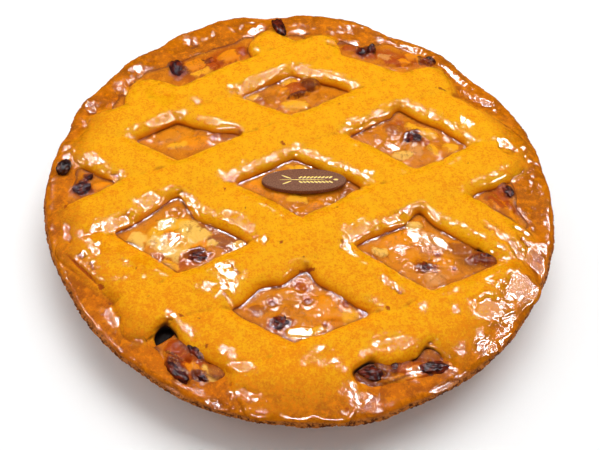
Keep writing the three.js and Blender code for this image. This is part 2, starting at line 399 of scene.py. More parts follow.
def cover(points, rows, outer, inner, squareness=2.6):
    """1 in any of the ovals, fading out between two sizes of them."""
    return np.max([soft_step(outer, inner, oval(points, *row, squareness)) for row in rows], axis=0)


# %% Turn a mesh into a piece of the pie
def finished_mesh(thing):
    """The mesh as its modifiers leave it; the object itself is removed."""
    graph = bpy.context.evaluated_depsgraph_get()
    mesh = bpy.data.meshes.new_from_object(thing.evaluated_get(graph))
    bpy.data.objects.remove(thing)
    return mesh


def smoothing(thing, rounds, group=""):
    """Evens out the mesh of an object, all of it or a vertex group, by a modifier."""
    modifier = thing.modifiers.new("smoothing", "SMOOTH")
    modifier.factor = 0.5
    modifier.iterations = rounds
    modifier.vertex_group = group


def finder(spots):
    """A tree that tells the nearest of some spots and how far it is."""
    tree = KDTree(len(spots))
    for i, spot in enumerate(spots):
        tree.insert(spot, i)
    tree.balance()
    return tree


def piece(name, mesh, paint, replaced=(), sharp=None):
    """Adds a mesh to the pie with its finish; an edge sharper than the angle stays crisp."""
    mesh.name = name
    thing = add(name, mesh)
    mesh.materials.clear()
    mesh.materials.append(paint.material)
    mesh.shade_smooth()
    if sharp is not None:
        mesh.set_sharp_from_angle(angle=math.radians(sharp))
    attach(thing, "root")
    if replaced:
        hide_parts(*replaced)
    mesh.calc_loop_triangles()
    print(name, "has", len(mesh.loop_triangles), "triangles")


# %% [markdown]
# ## One skin of dough
# In the oven the ends of the strips bake into the lip and the strips sink into each other, so no gap is
# left between them. The solids keep such gaps, because each is a body of its own. Here they are grown by a
# hair, joined and wrapped in one even voxel skin, which is then smoothed: creases stay where two strips
# meet, and every shoulder gets the soft roundness that glaze follows. A Boolean would keep the facets, so
# it isn't used for this. A round block fills the case inside, where nobody looks.

# %% Wrap the case and the strips in one skin
VOXEL = 1.0
GROWTH = 0.22
SOFTENING = 16
CORE_BOTTOM = 3
CORE_TOP = 26.5
CORE_FOOT = 112
CORE_BRIM = 124

STRIPS = sorted(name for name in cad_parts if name.startswith("strip_"))
UPPER_STRIPS = [name for name in STRIPS if name.startswith("strip_over")]
LOWER_STRIPS = [name for name in STRIPS if name.startswith("strip_under")]


def solid_of(node, growth=0):
    """A node's solid with its loose triangles merged, grown outwards by some mm."""
    shape = bmesh.new()
    shape.from_mesh(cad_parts[node].data)
    bmesh.ops.remove_doubles(shape, verts=shape.verts, dist=0.002 * MM)
    shape.normal_update()
    for corner in shape.verts:
        corner.co += corner.normal * growth * MM
    return shape


def joined(shapes):
    whole = bmesh.new()
    for shape in shapes:
        part = mesh_from(shape)
        whole.from_mesh(part)
        bpy.data.meshes.remove(part)
    return whole


def drum(radius, bottom, top, top_radius=None, sides=256):
    """A plain round block between two levels."""
    shape = bmesh.new()
    middle = Matrix.Translation((0, 0, (bottom + top) / 2 * MM))
    bmesh.ops.create_cone(shape, cap_ends=True, segments=sides, radius1=radius * MM,
                          radius2=(top_radius or radius) * MM, depth=(top - bottom) * MM, matrix=middle)
    return shape


core_block = drum(CORE_FOOT, CORE_BOTTOM, CORE_TOP, top_radius=CORE_BRIM, sides=96)

# %% [markdown]
# The lip isn't evenly wide. In places it sagged inwards over the filling, and it is widest there. A flat
# ring is spun inside the lip, and its inner corners are drawn towards the middle where the lip sagged.

# %% Sag the lip inwards: azimuth and half the span in degrees, how far in mm
SAGS = [
    (125, 22, 8.5), (98, 22, 7), (90, 9, 10), (79, 10, 11), (39, 12, 14), (6, 16, 7.5), (178, 16, 2.8),
    (-103, 7, 3.5), (-123, 6, 3), (-74, 5, 7.5), (-66, 8, 2),
]
RING_INSIDE = 124
RING_OUTSIDE = 131
RING_BOTTOM = 20
RING_TOP = 31.9


def sagged_ring():
    ring = bmesh.new()
    places = [(RING_INSIDE, RING_BOTTOM), (RING_OUTSIDE, RING_BOTTOM)]
    places += [(RING_OUTSIDE, RING_TOP), (RING_INSIDE, RING_TOP)]
    section = [ring.verts.new((r * MM, 0, z * MM)) for r, z in places]
    sides = [ring.edges.new((section[i - 1], section[i])) for i in range(4)]
    bmesh.ops.spin(ring, geom=section + sides, cent=(0, 0, 0), axis=(0, 0, 1), angle=2 * math.pi, steps=360,
                   use_merge=True)
    for corner in ring.verts:
        flat = corner.co.to_2d()
        if flat.length < (RING_INSIDE + 1) * MM:
            azimuth = math.degrees(math.atan2(flat.y, flat.x))
            away = [abs((azimuth - middle + 180) % 360 - 180) / span for middle, span, depth in SAGS]
            sag = max(depth * float(soft_step(1, 0.4, share)) for share, (_, _, depth) in zip(away, SAGS))
            corner.co.xy = flat * (1 - sag / RING_INSIDE)
    bmesh.ops.recalc_face_normals(ring, faces=ring.faces)
    return ring


shapes = [solid_of("crust"), sagged_ring(), core_block] + [solid_of(s, GROWTH) for s in STRIPS]
dough = add("dough", mesh_from(joined(shapes)))
remesh = dough.modifiers.new("even_skin", "REMESH")
remesh.mode = "VOXEL"
remesh.voxel_size = VOXEL * MM
smoothing(dough, SOFTENING)
skin = finished_mesh(dough)
print("the skin has", len(skin.vertices), "corners")

# %% [markdown]
# ## Where a strip ends
# The ends of the strips melt into the lip: there is no step there, only a shallow crease. So the skin first
# settles towards the lip, more the further out it lies. Then each corner is asked how far it is from the
# strips and from the case. Where both are near, a vertex group lets one more Smooth modifier work much
# harder.

# %% Measure how far the strips and the case are
def tree_of(shapes):
    return BVHTree.FromBMesh(joined(shapes))


strip_tree = tree_of([solid_of(s) for s in STRIPS])
upper_tree = tree_of([solid_of(s) for s in UPPER_STRIPS])
lower_tree = tree_of([solid_of(s) for s in LOWER_STRIPS])
crust_tree = tree_of([solid_of("crust"), sagged_ring()])


def distance_to(tree, points, asked, beyond=20.0):
    """How far each asked point is from a solid, in mm."""
    found = np.full(len(points), beyond)
    for i in np.flatnonzero(asked):
        found[i] = tree.find_nearest(Vector(points[i] * MM))[3] / MM
    return found


def beyond_strips(points, reach):
    """How much further off the strips are than the case, near the rim, and the larger distance."""
    at_the_rim = (reach > 100) & (points[:, 2] > 25)
    to_strips = distance_to(strip_tree, points, at_the_rim)
    to_case = distance_to(crust_tree, points, at_the_rim)
    return to_strips - to_case, np.maximum(to_strips, to_case)


# %% Melt the ends of the strips into the lip
LIP_LEVEL = 32.4
SETTLED = 0.55
SETTLES_BETWEEN = (112, 131)
RIM_STAYS_BEYOND = (136, 131)
MELT_REACH = 8
MELTING = 40

points = corners(skin)
reach = radius_of(points)
points[:, 2] -= np.maximum(points[:, 2] - LIP_LEVEL, 0) * SETTLED * soft_step(*SETTLES_BETWEEN, reach)
move_to(skin, points)
melt = soft_step(MELT_REACH, 2, beyond_strips(points, reach)[1]) * soft_step(*RIM_STAYS_BEYOND, reach)
melted = add("melted", skin)
group = melted.vertex_groups.new(name="melt")
for i in np.flatnonzero(melt > 0.01):
    group.add([int(i)], float(melt[i]), "REPLACE")
smoothing(melted, MELTING, "melt")
skin = finished_mesh(melted)
print("corners that melt:", int((melt > 0.01).sum()))

# %% [markdown]
# ## Plump strips
# A strip of rolled dough is thickest along its middle and falls off gently before it turns down at its
# edge. The brink of each opening is found as the corners whose surface stands upright, and dough close to
# it sinks.

# %% Let the strips fall off towards the openings
SHOULDER = 8.5
SHOULDER_DROP = 0.75
WET_SHOULDER = 8
TOP_LEVEL = 31
BRINK_TOP = 33.5
FULL_HEIGHT = 34.5

points = corners(skin)
reach = radius_of(points)
level = points[:, 2]
upright = np.abs(normals(skin)[:, 2]) < 0.6
brink = np.flatnonzero(upright & (level > TOP_LEVEL) & (level < BRINK_TOP) & (reach < 118))
brink_tree = finder([(x, y, 0) for x, y in points[brink, :2]])
high = np.flatnonzero((level > TOP_LEVEL) & (reach < 122))
from_brink = np.array([brink_tree.find((x, y, 0))[2] for x, y in points[high, :2]])
fall = SHOULDER_DROP * np.clip(1 - from_brink / SHOULDER, 0, 1) ** 2
points[high, 2] -= fall * soft_step(TOP_LEVEL, FULL_HEIGHT, points[high, 2])
move_to(skin, points)
shoulder = np.zeros(len(points))
shoulder[high] = soft_step(WET_SHOULDER, WET_SHOULDER * 0.6, from_brink)
print("corners that sink towards an opening:", int((fall > 0).sum()))

# %% [markdown]
# ## Creases and uneven dough
# Where a strip meets the lip, a fine crease stays along some stretches and bakes shut along others. Where
# two strips cross, hardly any crease is left. A corner is near a seam when both kinds of solid are close to
# it. The rest is noise: long swells for hands that rolled the dough, crumbs on the bare wall, small knobs
# on the lip, more at the back than in front, and strips whose edges wander a little to each side.

# %% Crease the seams, and make the dough uneven and its outer wall crumbly
CREASE_DEPTH = 0.75
CREASE_REACH = 1.7
BAKED_SHUT = 0.2
EDGE_WANDER = 0.9
DOUGH_SWELLS = [(0.45, 24, 1), (0.34, 9, 2), (0.13, 3.4, 9)]
KNOB_HEIGHT = 0.36


def wall_share(mesh, top, full):
    """1 on the outside of the case from the ground up to one level, fading to 0 at a higher one."""
    points = corners(mesh)
    reach = radius_of(points)
    faces = normals(mesh)
    outwards = (points[:, 0] * faces[:, 0] + points[:, 1] * faces[:, 1]) / np.maximum(reach, 1)
    outside = soft_step(-0.1, 0.3, np.maximum(outwards, -faces[:, 2])) * soft_step(100, 106, reach)
    return soft_step(top, full, points[:, 2]) * np.maximum(outside, soft_step(6, 4, points[:, 2]))


points = corners(skin)
reach = radius_of(points)
near_top = points[:, 2] > 29
distances = [distance_to(tree, points, near_top) for tree in (upper_tree, lower_tree, crust_tree)]
to_strips = np.minimum(distances[0], distances[1])
crossing = soft_step(CREASE_REACH, 0.3, np.maximum(distances[0], distances[1])) * BAKED_SHUT
strip_end = soft_step(CREASE_REACH, 0.3, np.maximum(to_strips, distances[2]))
seam = np.maximum(crossing, strip_end) * patches(points, 15, 16, -0.2, 0.35)
towards_the_back = 0.25 + 0.75 * soft_step(-60, 20, points[:, 1])
outer_wall = wall_share(skin, 31.5, 28.5)
knobbly = soft_step(118, 128, reach) * soft_step(24, 29, points[:, 2]) * towards_the_back
crumb = np.abs(wave(points, 2.6, seed=3, octaves=3))
lift = swells(points, DOUGH_SWELLS)
lift += knobbly * KNOB_HEIGHT * wave(points, 4.0, seed=10) - outer_wall * (0.3 + 1.7 * crumb)
points += normals(skin) * (lift - CREASE_DEPTH * seam)[:, None]
in_the_lattice = soft_step(124, 114, reach) * soft_step(27, 30, points[:, 2])
for axis in (0, 1):
    points[:, axis] += EDGE_WANDER * in_the_lattice * wave(points, 17, seed=17 + axis)
print("corners in a crease:", int((seam > 0.3).sum()))

# %% [markdown]
# ## Openings pulled out of shape
# Eight straight strips would leave neat diamonds. Real ones were tugged while they were laid, so some
# corners of the openings are drawn out. Each tug moves the dough round one place, most in its middle. At
# the lower left the lip also cracked along a strip, and a narrow groove is left there.

# %% Tug the dough: x, y, how far round, how far to the right, how far to the back
TUGS = [
    (-68.6, -25.2, 18, 2.4, 8.2), (3.7, -59.5, 11, 1.8, 3.8), (-14.8, -71.7, 12, -1.6, 2.6),
    (63.0, -16.8, 11, 0, 3.9), (54.6, 57.6, 10, -2.9, 2.0), (-42.8, 27.4, 10, 4.5, 2.5),
    (-57.0, -99.1, 12, -0.8, 4.8), (38, -112, 10, -4.3, 2.0), (41, -107, 9, 0, 3.5),
    (69.5, -95, 9, -2.0, 2.2),
]
GROOVE = {"x": -104.6, "y": -67.2, "length": 30, "width": 2.6, "turn": -39.5, "squareness": 2}
GROOVE_DEPTH = 1.5
for x, y, radius, to_the_right, to_the_back in TUGS:
    near = np.hypot(points[:, 0] - x, points[:, 1] - y)
    pull = soft_step(radius, 0, near) * soft_step(27, 29, points[:, 2])
    points[:, 0] += to_the_right * pull
    points[:, 1] += to_the_back * pull
in_the_groove = soft_step(1.3, 0.2, oval(points, **GROOVE)) * soft_step(29, 31, points[:, 2])
points[:, 2] -= GROOVE_DEPTH * in_the_groove
move_to(skin, points)

# %% [markdown]
# ## Flats in the dough
# Hands lay and press the strips, so their shoulders aren't evenly round: here and there lies a small flat,
# and each flat shows one of the lamps as a patch with a bright outline. The flats are listed by where they
# lie. Each one is turned so that it mirrors the lamp that it already nearly faces: its plane stands square
# to the line half way between the lamp and the camera, and the dough is pressed towards that plane.

# %% Flats that show the dim panel: x, y, length, width, turn
PALE_FLATS = [
    (-92.6, -39.7, 18, 9, 36), (-79.6, -23.5, 15, 9, 19), (-116.9, -47.2, 11, 5, -59),
    (-20.2, -113.0, 13, 5, -14), (-16.7, -125.9, 15, 5, -13), (-85.3, -92.2, 14, 7, -52),
    (49.7, -93.7, 18, 9, 9), (97.3, -69.9, 15, 13, 12), (101.9, 74.4, 14, 7, -40),
    (48.5, -60.6, 16, 4, -45), (-31.4, 71.2, 36, 6, 40), (-2.9, 81.8, 19, 6, -15), (80.0, -71.9, 8, 3, -55),
    (33.3, 41.7, 17, 7, 47), (108.3, -27.5, 30, 5, -45), (118, -20, 12, 8, -60), (-54.0, 36.3, 7, 4, -17),
    (-65.7, 50.3, 8, 4.5, -40), (28.8, -29.6, 14, 8, 35), (52.2, -19.9, 18, 7, 38), (124, -36, 18, 8, -70),
    (-31.5, -30.5, 20, 7, -28), (-81, 33, 16, 5.5, 20), (112, 38, 16, 9, -60),
]

# %% Flats that show a bright tube: x, y, length, width, turn
SPARKLING_FLATS = [
    (112.6, -56.5, 21, 13, 41), (108.0, -73.4, 9, 5, 26), (-33.7, -62.7, 18, 10, -30),
    (36.5, -121.7, 19, 11, -33), (-113.5, 1.5, 13, 7, -48), (-101, -9, 8, 4, -23), (85.1, 93.7, 24, 5, -44),
    (-62.5, 94, 26, 3, 23), (-37.5, 116.9, 15, 8, 41), (27.3, -42.0, 12, 8, -30), (100.7, -88.3, 13, 5, 25),
    (91.2, 52.2, 12, 5, -20), (39.8, -71.4, 10, 3, -27), (64.7, -73.0, 6, 5, -14),
    (-83.3, -62.9, 6, 4.5, -31), (-100.0, -52.4, 6, 3, 53), (-106.2, -60.5, 6, 4, -48),
    (-99.4, -65.5, 6, 3, -37), (-59.2, -19.5, 12, 5.5, -30), (10.5, 108.4, 10, 7, -16),
    (118.5, -25.5, 7, 5, 0), (-17.8, -42.2, 7, 5, -60), (-43.6, -1.3, 9, 4.5, -30),
    (-33.2, 7.6, 6, 2.5, 60), (35.3, 7.9, 7, 3.5, 20), (-46.5, 62.6, 8, 4, 10), (-110.7, 58.5, 14, 8, -60),
    (-101.5, 71.9, 16, 8, -50), (-124.4, 40.9, 14, 7, -75), (37.5, -100.3, 6, 3, 40),
    (25.0, -107.3, 10, 3, -35), (69.9, -92.2, 5, 2, -20), (95.0, -89.7, 14, 8, 30),
    (77.1, -110.7, 16, 3.5, 28), (-102.8, -65.6, 22, 1.8, -39), (-85.9, -72.4, 7, 3, 25),
    (-50.9, -94.4, 20, 3.5, -38), (-30.8, -78.0, 9, 2.5, -45), (-27.3, -106.3, 9, 6, -30),
    (-70.7, -103.4, 4, 3, 0), (-49.6, -126.3, 12, 3, -28), (-29, -131, 10, 3, -12), (21.1, 113.8, 12, 6, 0),
    (-10.3, 118.7, 12, 5, 0), (-78.0, 103.0, 16, 7, -38),
]

# %% Press the flats
FLATNESS = 0.85
FLAT_FADES = (1.3, 0.75)
MOST_PRESSED = 1.3
OUTLINE_WANDER = 1.9


def mirror_normal(spot, lamp_place):
    """The way a flat at a spot has to face to show a lamp to the camera; all in metres."""
    to_lamp = (lamp_place - spot).normalized()
    to_camera = (camera.matrix_world.translation - spot).normalized()
    return (to_lamp + to_camera).normalized()


def press_flat(points, bent, facing, pressed, lamps, lowest, row):
    """Turns the dough or syrup in a wandering oval to mirror the nearest lamp, and marks how far it did."""
    inside = oval(bent, *row)
    near = np.flatnonzero((inside < FLAT_FADES[0]) & (facing[:, 2] > 0.2) & (points[:, 2] > lowest))
    weight = soft_step(*FLAT_FADES, inside[near]) * FLATNESS
    if weight.sum() == 0:
        return -1
    pressed[near] = np.maximum(pressed[near], weight)
    middle = np.average(points[near], axis=0, weights=weight)
    leaning = Vector(np.average(facing[near], axis=0, weights=weight))
    spot = Vector(middle * MM)
    wanted = max((mirror_normal(spot, place) for place in lamps), key=leaning.dot)
    rise = np.clip((points[near] - middle) @ np.array(wanted), -MOST_PRESSED, MOST_PRESSED)
    points[near] -= np.outer(rise * weight, wanted)
    return math.degrees(leaning.angle(wanted))


DOUGH_LEVEL = 28
facing = normals(skin)
bent = wandering(points, OUTLINE_WANDER, 4, seed=20, octaves=3)
pale = np.zeros(len(points))
sparkling = np.zeros(len(points))
turned = [press_flat(points, bent, facing, pale, panel_places, DOUGH_LEVEL, row) for row in PALE_FLATS]
for row in SPARKLING_FLATS:
    turned.append(press_flat(points, bent, facing, sparkling, tube_places, DOUGH_LEVEL, row))
move_to(skin, inside_the_box(points))
print("each flat turns the dough by these degrees:", [round(angle) for angle in turned])

# %% [markdown]
# ## Hollows get painted shade
# Hollows are painted nut brown as painted shade, darker the deeper they lie. A corner lies in a sunken spot
# when the surface, smoothed a few times, comes out above it. The height of the smoothed surface over each
# corner is kept for the paint.

# %% Measure the hollows
HOLLOW_ROUNDS = 9


def hollows(mesh):
    """How far each corner lies below its smoothed surroundings, in mm; a ridge comes out below zero."""
    points = corners(mesh)
    ends = np.zeros(len(mesh.edges) * 2, np.int32)
    mesh.edges.foreach_get("vertices", ends)
    first, second = ends.reshape(-1, 2).T
    neighbours = np.bincount(ends, minlength=len(points))
    smoothed = points.copy()
    for _ in range(HOLLOW_ROUNDS):
        for axis in range(3):
            values = smoothed[:, axis].copy()
            total = np.bincount(first, values[second], len(points))
            total += np.bincount(second, values[first], len(points))
            smoothed[:, axis] = total / neighbours
    return ((smoothed - points) * normals(mesh)).sum(axis=1)


hollow_shade = hollows(skin)
print("hollows in mm, deepest tenth and highest tenth:", np.percentile(hollow_shade, [90, 10]).round(2))

# %% [markdown]
# ## Where the jelly has soaked in
# The jelly was brushed on hot, and the dough drank most of it. So the crust is dull, apart from the
# shoulders round the openings, a few wet stretches, the flats, patches of the lip and its outermost edge.
# Along some openings even the shoulders are dull.

# %% Wet stretches: x, y, length, width, turn
WET = [
    (106, -62, 40, 44, 20), (112, -10, 24, 50, 20), (88, 88, 60, 16, -44), (-20, 118, 70, 10, 8),
    (-98, -52, 20, 26, 40), (-106, 78, 90, 18, -52), (-72, -64, 22, 14, 20), (16, -104, 18, 10, 20),
    (-38, -72, 24, 12, 30),
]

# %% Dull stretches: x, y, length, width, turn
DULL = [
    (-92, -68, 66, 40, -29), (-35, -100, 90, 40, -27), (-84, -104, 90, 30, -42), (-26, -71, 64, 18, 38),
    (28, -62, 54, 16, -27), (10, -118, 100, 36, 0), (32, -99, 96, 28, 32), (15, -131, 150, 14, 0),
    (-112, -38, 26, 16, 10), (60, -120, 60, 20, 24), (-128, -30, 60, 14, -80),
]

# %% [markdown]
# ## Burnt specks
# Sugar that boiled over burns on the dough. Each row is one speck or smear, from a pinhole to a streak, and
# the last row is the dark line in the groove of the cracked lip, which is painted shade.
# Steam also left a few caves beside the filling, under the strips; their walls are painted black as painted
# shadow.

# %% Burnt specks, and the shaded groove in the last row: x, y, length, width, turn
SCORCHES_AND_GROOVE_SHADE = [
    (3.7, -56.7, 4, 2.6, 10), (8.2, -55.6, 6, 2.2, -15), (-77.8, -65.7, 1.6, 1.4, 0),
    (76.5, 76.5, 10, 1.8, -8), (19.8, -16.4, 4.4, 1.0, 10), (17.5, -17.8, 2.4, 0.9, 20),
    (89.9, 20.5, 1.4, 1.2, 0), (17.1, 56.7, 3, 1.8, -10), (66.7, 50.2, 3, 1.2, 30),
    (-12.5, 22.7, 4, 2.6, -30), (-13.5, 24.6, 2.4, 1.4, 0), (-40.8, -12.1, 1.1, 1.1, 0),
    (-28.6, -23.1, 1.2, 1.0, 0), (-68.8, -80.8, 2, 1.6, 0), (-51.6, -89.7, 4, 2, -20),
    (-43, -90.1, 2.4, 1.6, 0), (-38, -103.9, 3, 2.2, -30), (-8, -42.9, 2.6, 3.6, 20), (4, -50.1, 2, 2, 0),
    (47.1, -74.9, 3, 3.4, 10), (-88, 60, 3, 1.6, 20), (30, -128, 3, 1.8, 0), (-122, -30, 2.4, 4, 0),
    (126, -36, 2.4, 5, 20), (-93.6, -76.4, 5, 2.6, -35), (-104.6, -67.2, 26, 1.1, -39.5),
]

# %% Caves under the strips, painted black as shadow: x, y, length, width, turn
CAVE_SHADOWS = [
    (-62, -98, 20, 16, 40), (-100, 29, 14, 10, 10), (38, -108, 16, 10, 10), (66, -96, 16, 10, 10),
    (97, -34, 12, 8, 15), (-92, -70, 5, 3, -40),
]
CAVE_TOP = 34.8

# %% [markdown]
# ## The finish of glazed pastry
# Egg-washed dough bakes from golden yellow to orange, and to a nut brown on the lip. Painted shade darkens
# its hollows, the low walls of the strips in the openings, their steep sides and the front of the pie, and
# painted shadow blackens the caves.
# Fine speckles are flour and sugar that browned first. Over it lies clear apricot jelly, so the gloss is
# that of a liquid, and small ripples break up its reflections. They are strongest where hands pressed the
# dough.

# %% Mix the pastry paint
GOLD = colour(0.90, 0.41, 0.003)
ORANGE = colour(0.82, 0.235, 0.001)
LIP_BROWN = colour(0.52, 0.098, 0.001)
NUT_BROWN = colour(0.27, 0.037, 0.002)
CRUMB_BROWN = colour(0.10, 0.022, 0.006)
CRUMB_GOLD = colour(0.55, 0.17, 0.03)
BURNT_AND_GROOVE_SHADE = colour(0.34, 0.045, 0.004)
PAINTED_SHADOW_BLACK = colour(0.012, 0.005, 0.003)
DRY_ROUGHNESS = 0.7
DRY_GLOSS = 0.02
JELLY = {"Specular_IOR_Level": 0.35, "Coat_IOR": 1.8, "Coat_Roughness": 0.04}


def pastry_paint():
    paint = Paint("glazed_pastry", **JELLY)
    rim_share = paint.attribute("rim")
    crumbs = paint.attribute("wall")
    foot_shade = paint.attribute("foot_shade")
    pale = paint.attribute("pale")
    blotch = paint.noise(9, detail=4, roughness=0.6)
    mottle = paint.noise(3.2, detail=3, roughness=0.6)
    speck = paint.noise(1.15, detail=4, roughness=0.75) - 0.5
    tone = paint.attribute("deep") + (blotch - 0.5) * 2.4 + (mottle - 0.5) * 3 + speck * 10
    base = paint.over(GOLD, ORANGE, tone, -0.6, 1.6)
    # painted shade: the steep sides of the strips are painted deeper orange
    base = paint.mix(paint.attribute("side") * 0.8, base, ORANGE)
    base = paint.over(base, LIP_BROWN, speck, 0.08, 0.22, 0.4)
    lip = paint.over(LIP_BROWN, NUT_BROWN, blotch + speck * 0.6, 0.42, 0.58, 0.85)
    lip = paint.over(lip, ORANGE, mottle + speck * 0.6, 0.48, 0.66, 0.7)
    base = paint.mix(rim_share * 0.9, base, lip)
    # painted reflection: the flats that mirror the dim panel are painted a little more orange, so their
    # reflection reads as a peach patch
    base = paint.mix(pale * 0.15, base, ORANGE)
    # painted shade: low on the strips' walls in the openings the dough is painted browner, down to nut
    # brown
    base = paint.mix(foot_shade * 0.6, base, LIP_BROWN)
    base = paint.over(base, NUT_BROWN, foot_shade, 0.6, 1.0, 0.6)
    # painted shade: corners in hollows are darkened towards nut brown
    base = paint.over(base, NUT_BROWN, paint.attribute("hollow_shade"), 0.06, 0.5, 0.75)
    crumb = paint.over(CRUMB_GOLD, CRUMB_BROWN, mottle + speck * 1.5, 0.42, 0.62)
    base = paint.mix(crumbs, base, crumb)
    # burnt specks, and along the groove a dark line of painted shade
    base = paint.over(base, BURNT_AND_GROOVE_SHADE, paint.attribute("scorch_and_groove_shade") + speck * 1.2, 0.3, 0.8, 0.9)
    # painted shadow: the walls of the caves under the strips are painted black
    base = paint.mix(paint.attribute("cave_shadow"), base, PAINTED_SHADOW_BLACK)
    paint.set(Base_Color=base, Roughness=0.06 + crumbs * 0.5, Coat_Weight=paint.attribute("standing"))
    rippled = 0.35 + paint.step(paint.noise(11), 0.42, 0.58) * 0.65
    ripples = paint.noise(2.6) * rippled * (1 - pale * 0.6)
    glitter = paint.noise(0.8, detail=0) * (0.03 + paint.attribute("sparkling") * 0.55 + rim_share * 0.22)
    paint.bump(ripples + glitter, 0.26)
    paint.dull_where_dry(paint.attribute("wet"), DRY_ROUGHNESS, DRY_GLOSS)
    return paint


pastry = pastry_paint()

# %% [markdown]
# ## Case and lattice as two pieces
# The skin is cut along a circle inside the lip, so that the lattice and the case stay pieces of their own.
# Both carry the same finish, and the cut runs across a closed surface, so no seam shows.

# %% Cut the skin into the case and the lattice
SEAM_RADIUS = 122.5
LATTICE_BOTTOM = 30.6


def cut_skin(operation, cutter):
    thing = add("part_of_skin", skin.copy())
    tool = add("cutter", mesh_from(cutter))
    boolean = thing.modifiers.new("cut", "BOOLEAN")
    boolean.operation = operation
    boolean.object = tool
    boolean.solver = "MANIFOLD"
    mesh = finished_mesh(thing)
    bpy.data.objects.remove(tool)
    return mesh


lattice_mesh = cut_skin("INTERSECT", drum(SEAM_RADIUS, LATTICE_BOTTOM, 60))
case_mesh = cut_skin("DIFFERENCE", drum(SEAM_RADIUS, CORE_TOP - 0.4, 60))
skin_finder = finder([corner.co for corner in skin.vertices])

# %% [markdown]
# The cut makes new corners, so each corner of a piece takes what was found out about the nearest corner of
# the skin. The rest is worked out from where it lies. Each pair of numbers below gives a radius or a level
# where a look begins, and one where it is complete.

# %% Say how wet the dough is
LIP_TOP = (120, 125)
OUTER_EDGE = (132, 134.5)


def wetness(points, bent, reach, same):
    """How wet each corner is, and how much it gleams because it was pressed flat."""
    gleaming = np.maximum(pale, sparkling)[same] * patches(points, 1.8, 33, -0.25, 0)
    ragged_lip = patches(points, 9, 30, -0.05, 0.05, octaves=3) * soft_step(*LIP_TOP, reach)
    wet = np.maximum(shoulder[same] * patches(points, 5, 32, -0.2, 0, octaves=3), ragged_lip)
    wet *= 1 - cover(bent, DULL, 1.15, 0.85)
    stretches = cover(bent, WET, 1.1, 0.9) * patches(points, 8, 31, -0.1, 0.05)
    return np.maximum.reduce([wet, stretches, gleaming, soft_step(*OUTER_EDGE, reach)]), gleaming


# %% Say where a cave is painted black as shadow
CAVE_FLOOR = (20, 24)
CAVE_BACK = (128, 125)
CAVE_DEEP = (30, 28.5)
CAVE_STEEP = (0.3, 0.65)


def cave_shadow(bent, reach, level, slope):
    """Painted shadow: caves are painted black where they are steep or deep, and not on the outside of the
    case.
    """
    black = cover(bent, CAVE_SHADOWS, 1.2, 0.8) * soft_step(CAVE_TOP, CAVE_TOP - 1, level)
    black *= soft_step(*CAVE_FLOOR, level) * soft_step(*CAVE_BACK, reach)
    return black * np.maximum(soft_step(*CAVE_STEEP, slope), soft_step(*CAVE_DEEP, level))


# %% Mark how the dough baked and where shade is painted
WALL_ENDS = (31.2, 29.2)
RIM_BEGINS = (100, 108)
RIM_MELTS = (112, 132)
SHADED_SIDE_ENDS = (122, 116)
FOOT_RADII = (116, 106)
FOOT_LEVELS = (34.2, 31.2)
TOP_BEGINS = (28, 31)
BELOW_TOP = (29, 26)


def mark_baking(mesh):
    """Marks how much of each corner is lip, how deep its colour is, with painted shade at the front, and
    where the bare wall crumbles; also the painted shade of hollows, low walls, steep sides and caves.
    """
    points = corners(mesh)
    reach = radius_of(points)
    level = points[:, 2]
    slope = 1 - normals(mesh)[:, 2]
    same = [skin_finder.find(corner.co)[1] for corner in mesh.vertices]
    speckled = wandering(points, 0.7, 1.6, seed=23)
    bent = wandering(points, 2.5, 7, seed=26)
    wet, gleaming = wetness(points, bent, reach, same)
    bare = wall_share(mesh, *WALL_ENDS)
    black = cave_shadow(bent, reach, level, slope) * (1 - bare)
    rim = np.maximum(soft_step(-2.5, 3.5, beyond_strips(points, reach)[0]), soft_step(*BELOW_TOP, level))
    rim *= 0.9 * soft_step(*RIM_BEGINS, reach)
    # painted shade: the front of the pie, turned away from the lamps, is painted deeper; the share by
    # radius and the noise are baking tone
    near = soft_step(50, -125, points[:, 1])
    deep = 0.65 * near + 0.35 * soft_step(85, 128, reach) + 0.25 * wave(points, 30, seed=4) - 0.12
    mark(mesh, "hollow_shade", hollow_shade[same])
    mark(mesh, "pale", pale[same])
    mark(mesh, "sparkling", sparkling[same])
    mark(mesh, "scorch_and_groove_shade", cover(speckled, SCORCHES_AND_GROOVE_SHADE, 1.4, 0.2, squareness=2) * soft_step(*TOP_BEGINS, level))
    mark(mesh, "cave_shadow", black)
    mark(mesh, "wet", wet * (1 - np.maximum(bare, black)))
    mark(mesh, "standing", np.maximum(gleaming, 0.3 * wet))
    # painted shade: steep sides inside the lip are marked to be painted deeper orange
    mark(mesh, "side", soft_step(0.12, 0.7, slope) * soft_step(*SHADED_SIDE_ENDS, reach))
    mark(mesh, "rim", np.maximum(rim, 0.75 * soft_step(*RIM_MELTS, reach)))
    mark(mesh, "deep", np.clip(deep, 0, 1))
    mark(mesh, "wall", bare)
    # painted shade: marks the low walls of the strips in the openings for browner paint
    mark(mesh, "foot_shade", soft_step(*FOOT_LEVELS, level) * soft_step(*FOOT_RADII, reach))


for mesh in (lattice_mesh, case_mesh):
    mark_baking(mesh)
    print("corners marked:", len(mesh.vertices))

# %% [markdown]
# The remeshed skin spends half its triangles on the underside, which stands on the table. They are thinned
# out.

# %% Thin out the underside and hand both pieces over
CASE_KEPT = 0.62
UNDERSIDE_TOP = 3

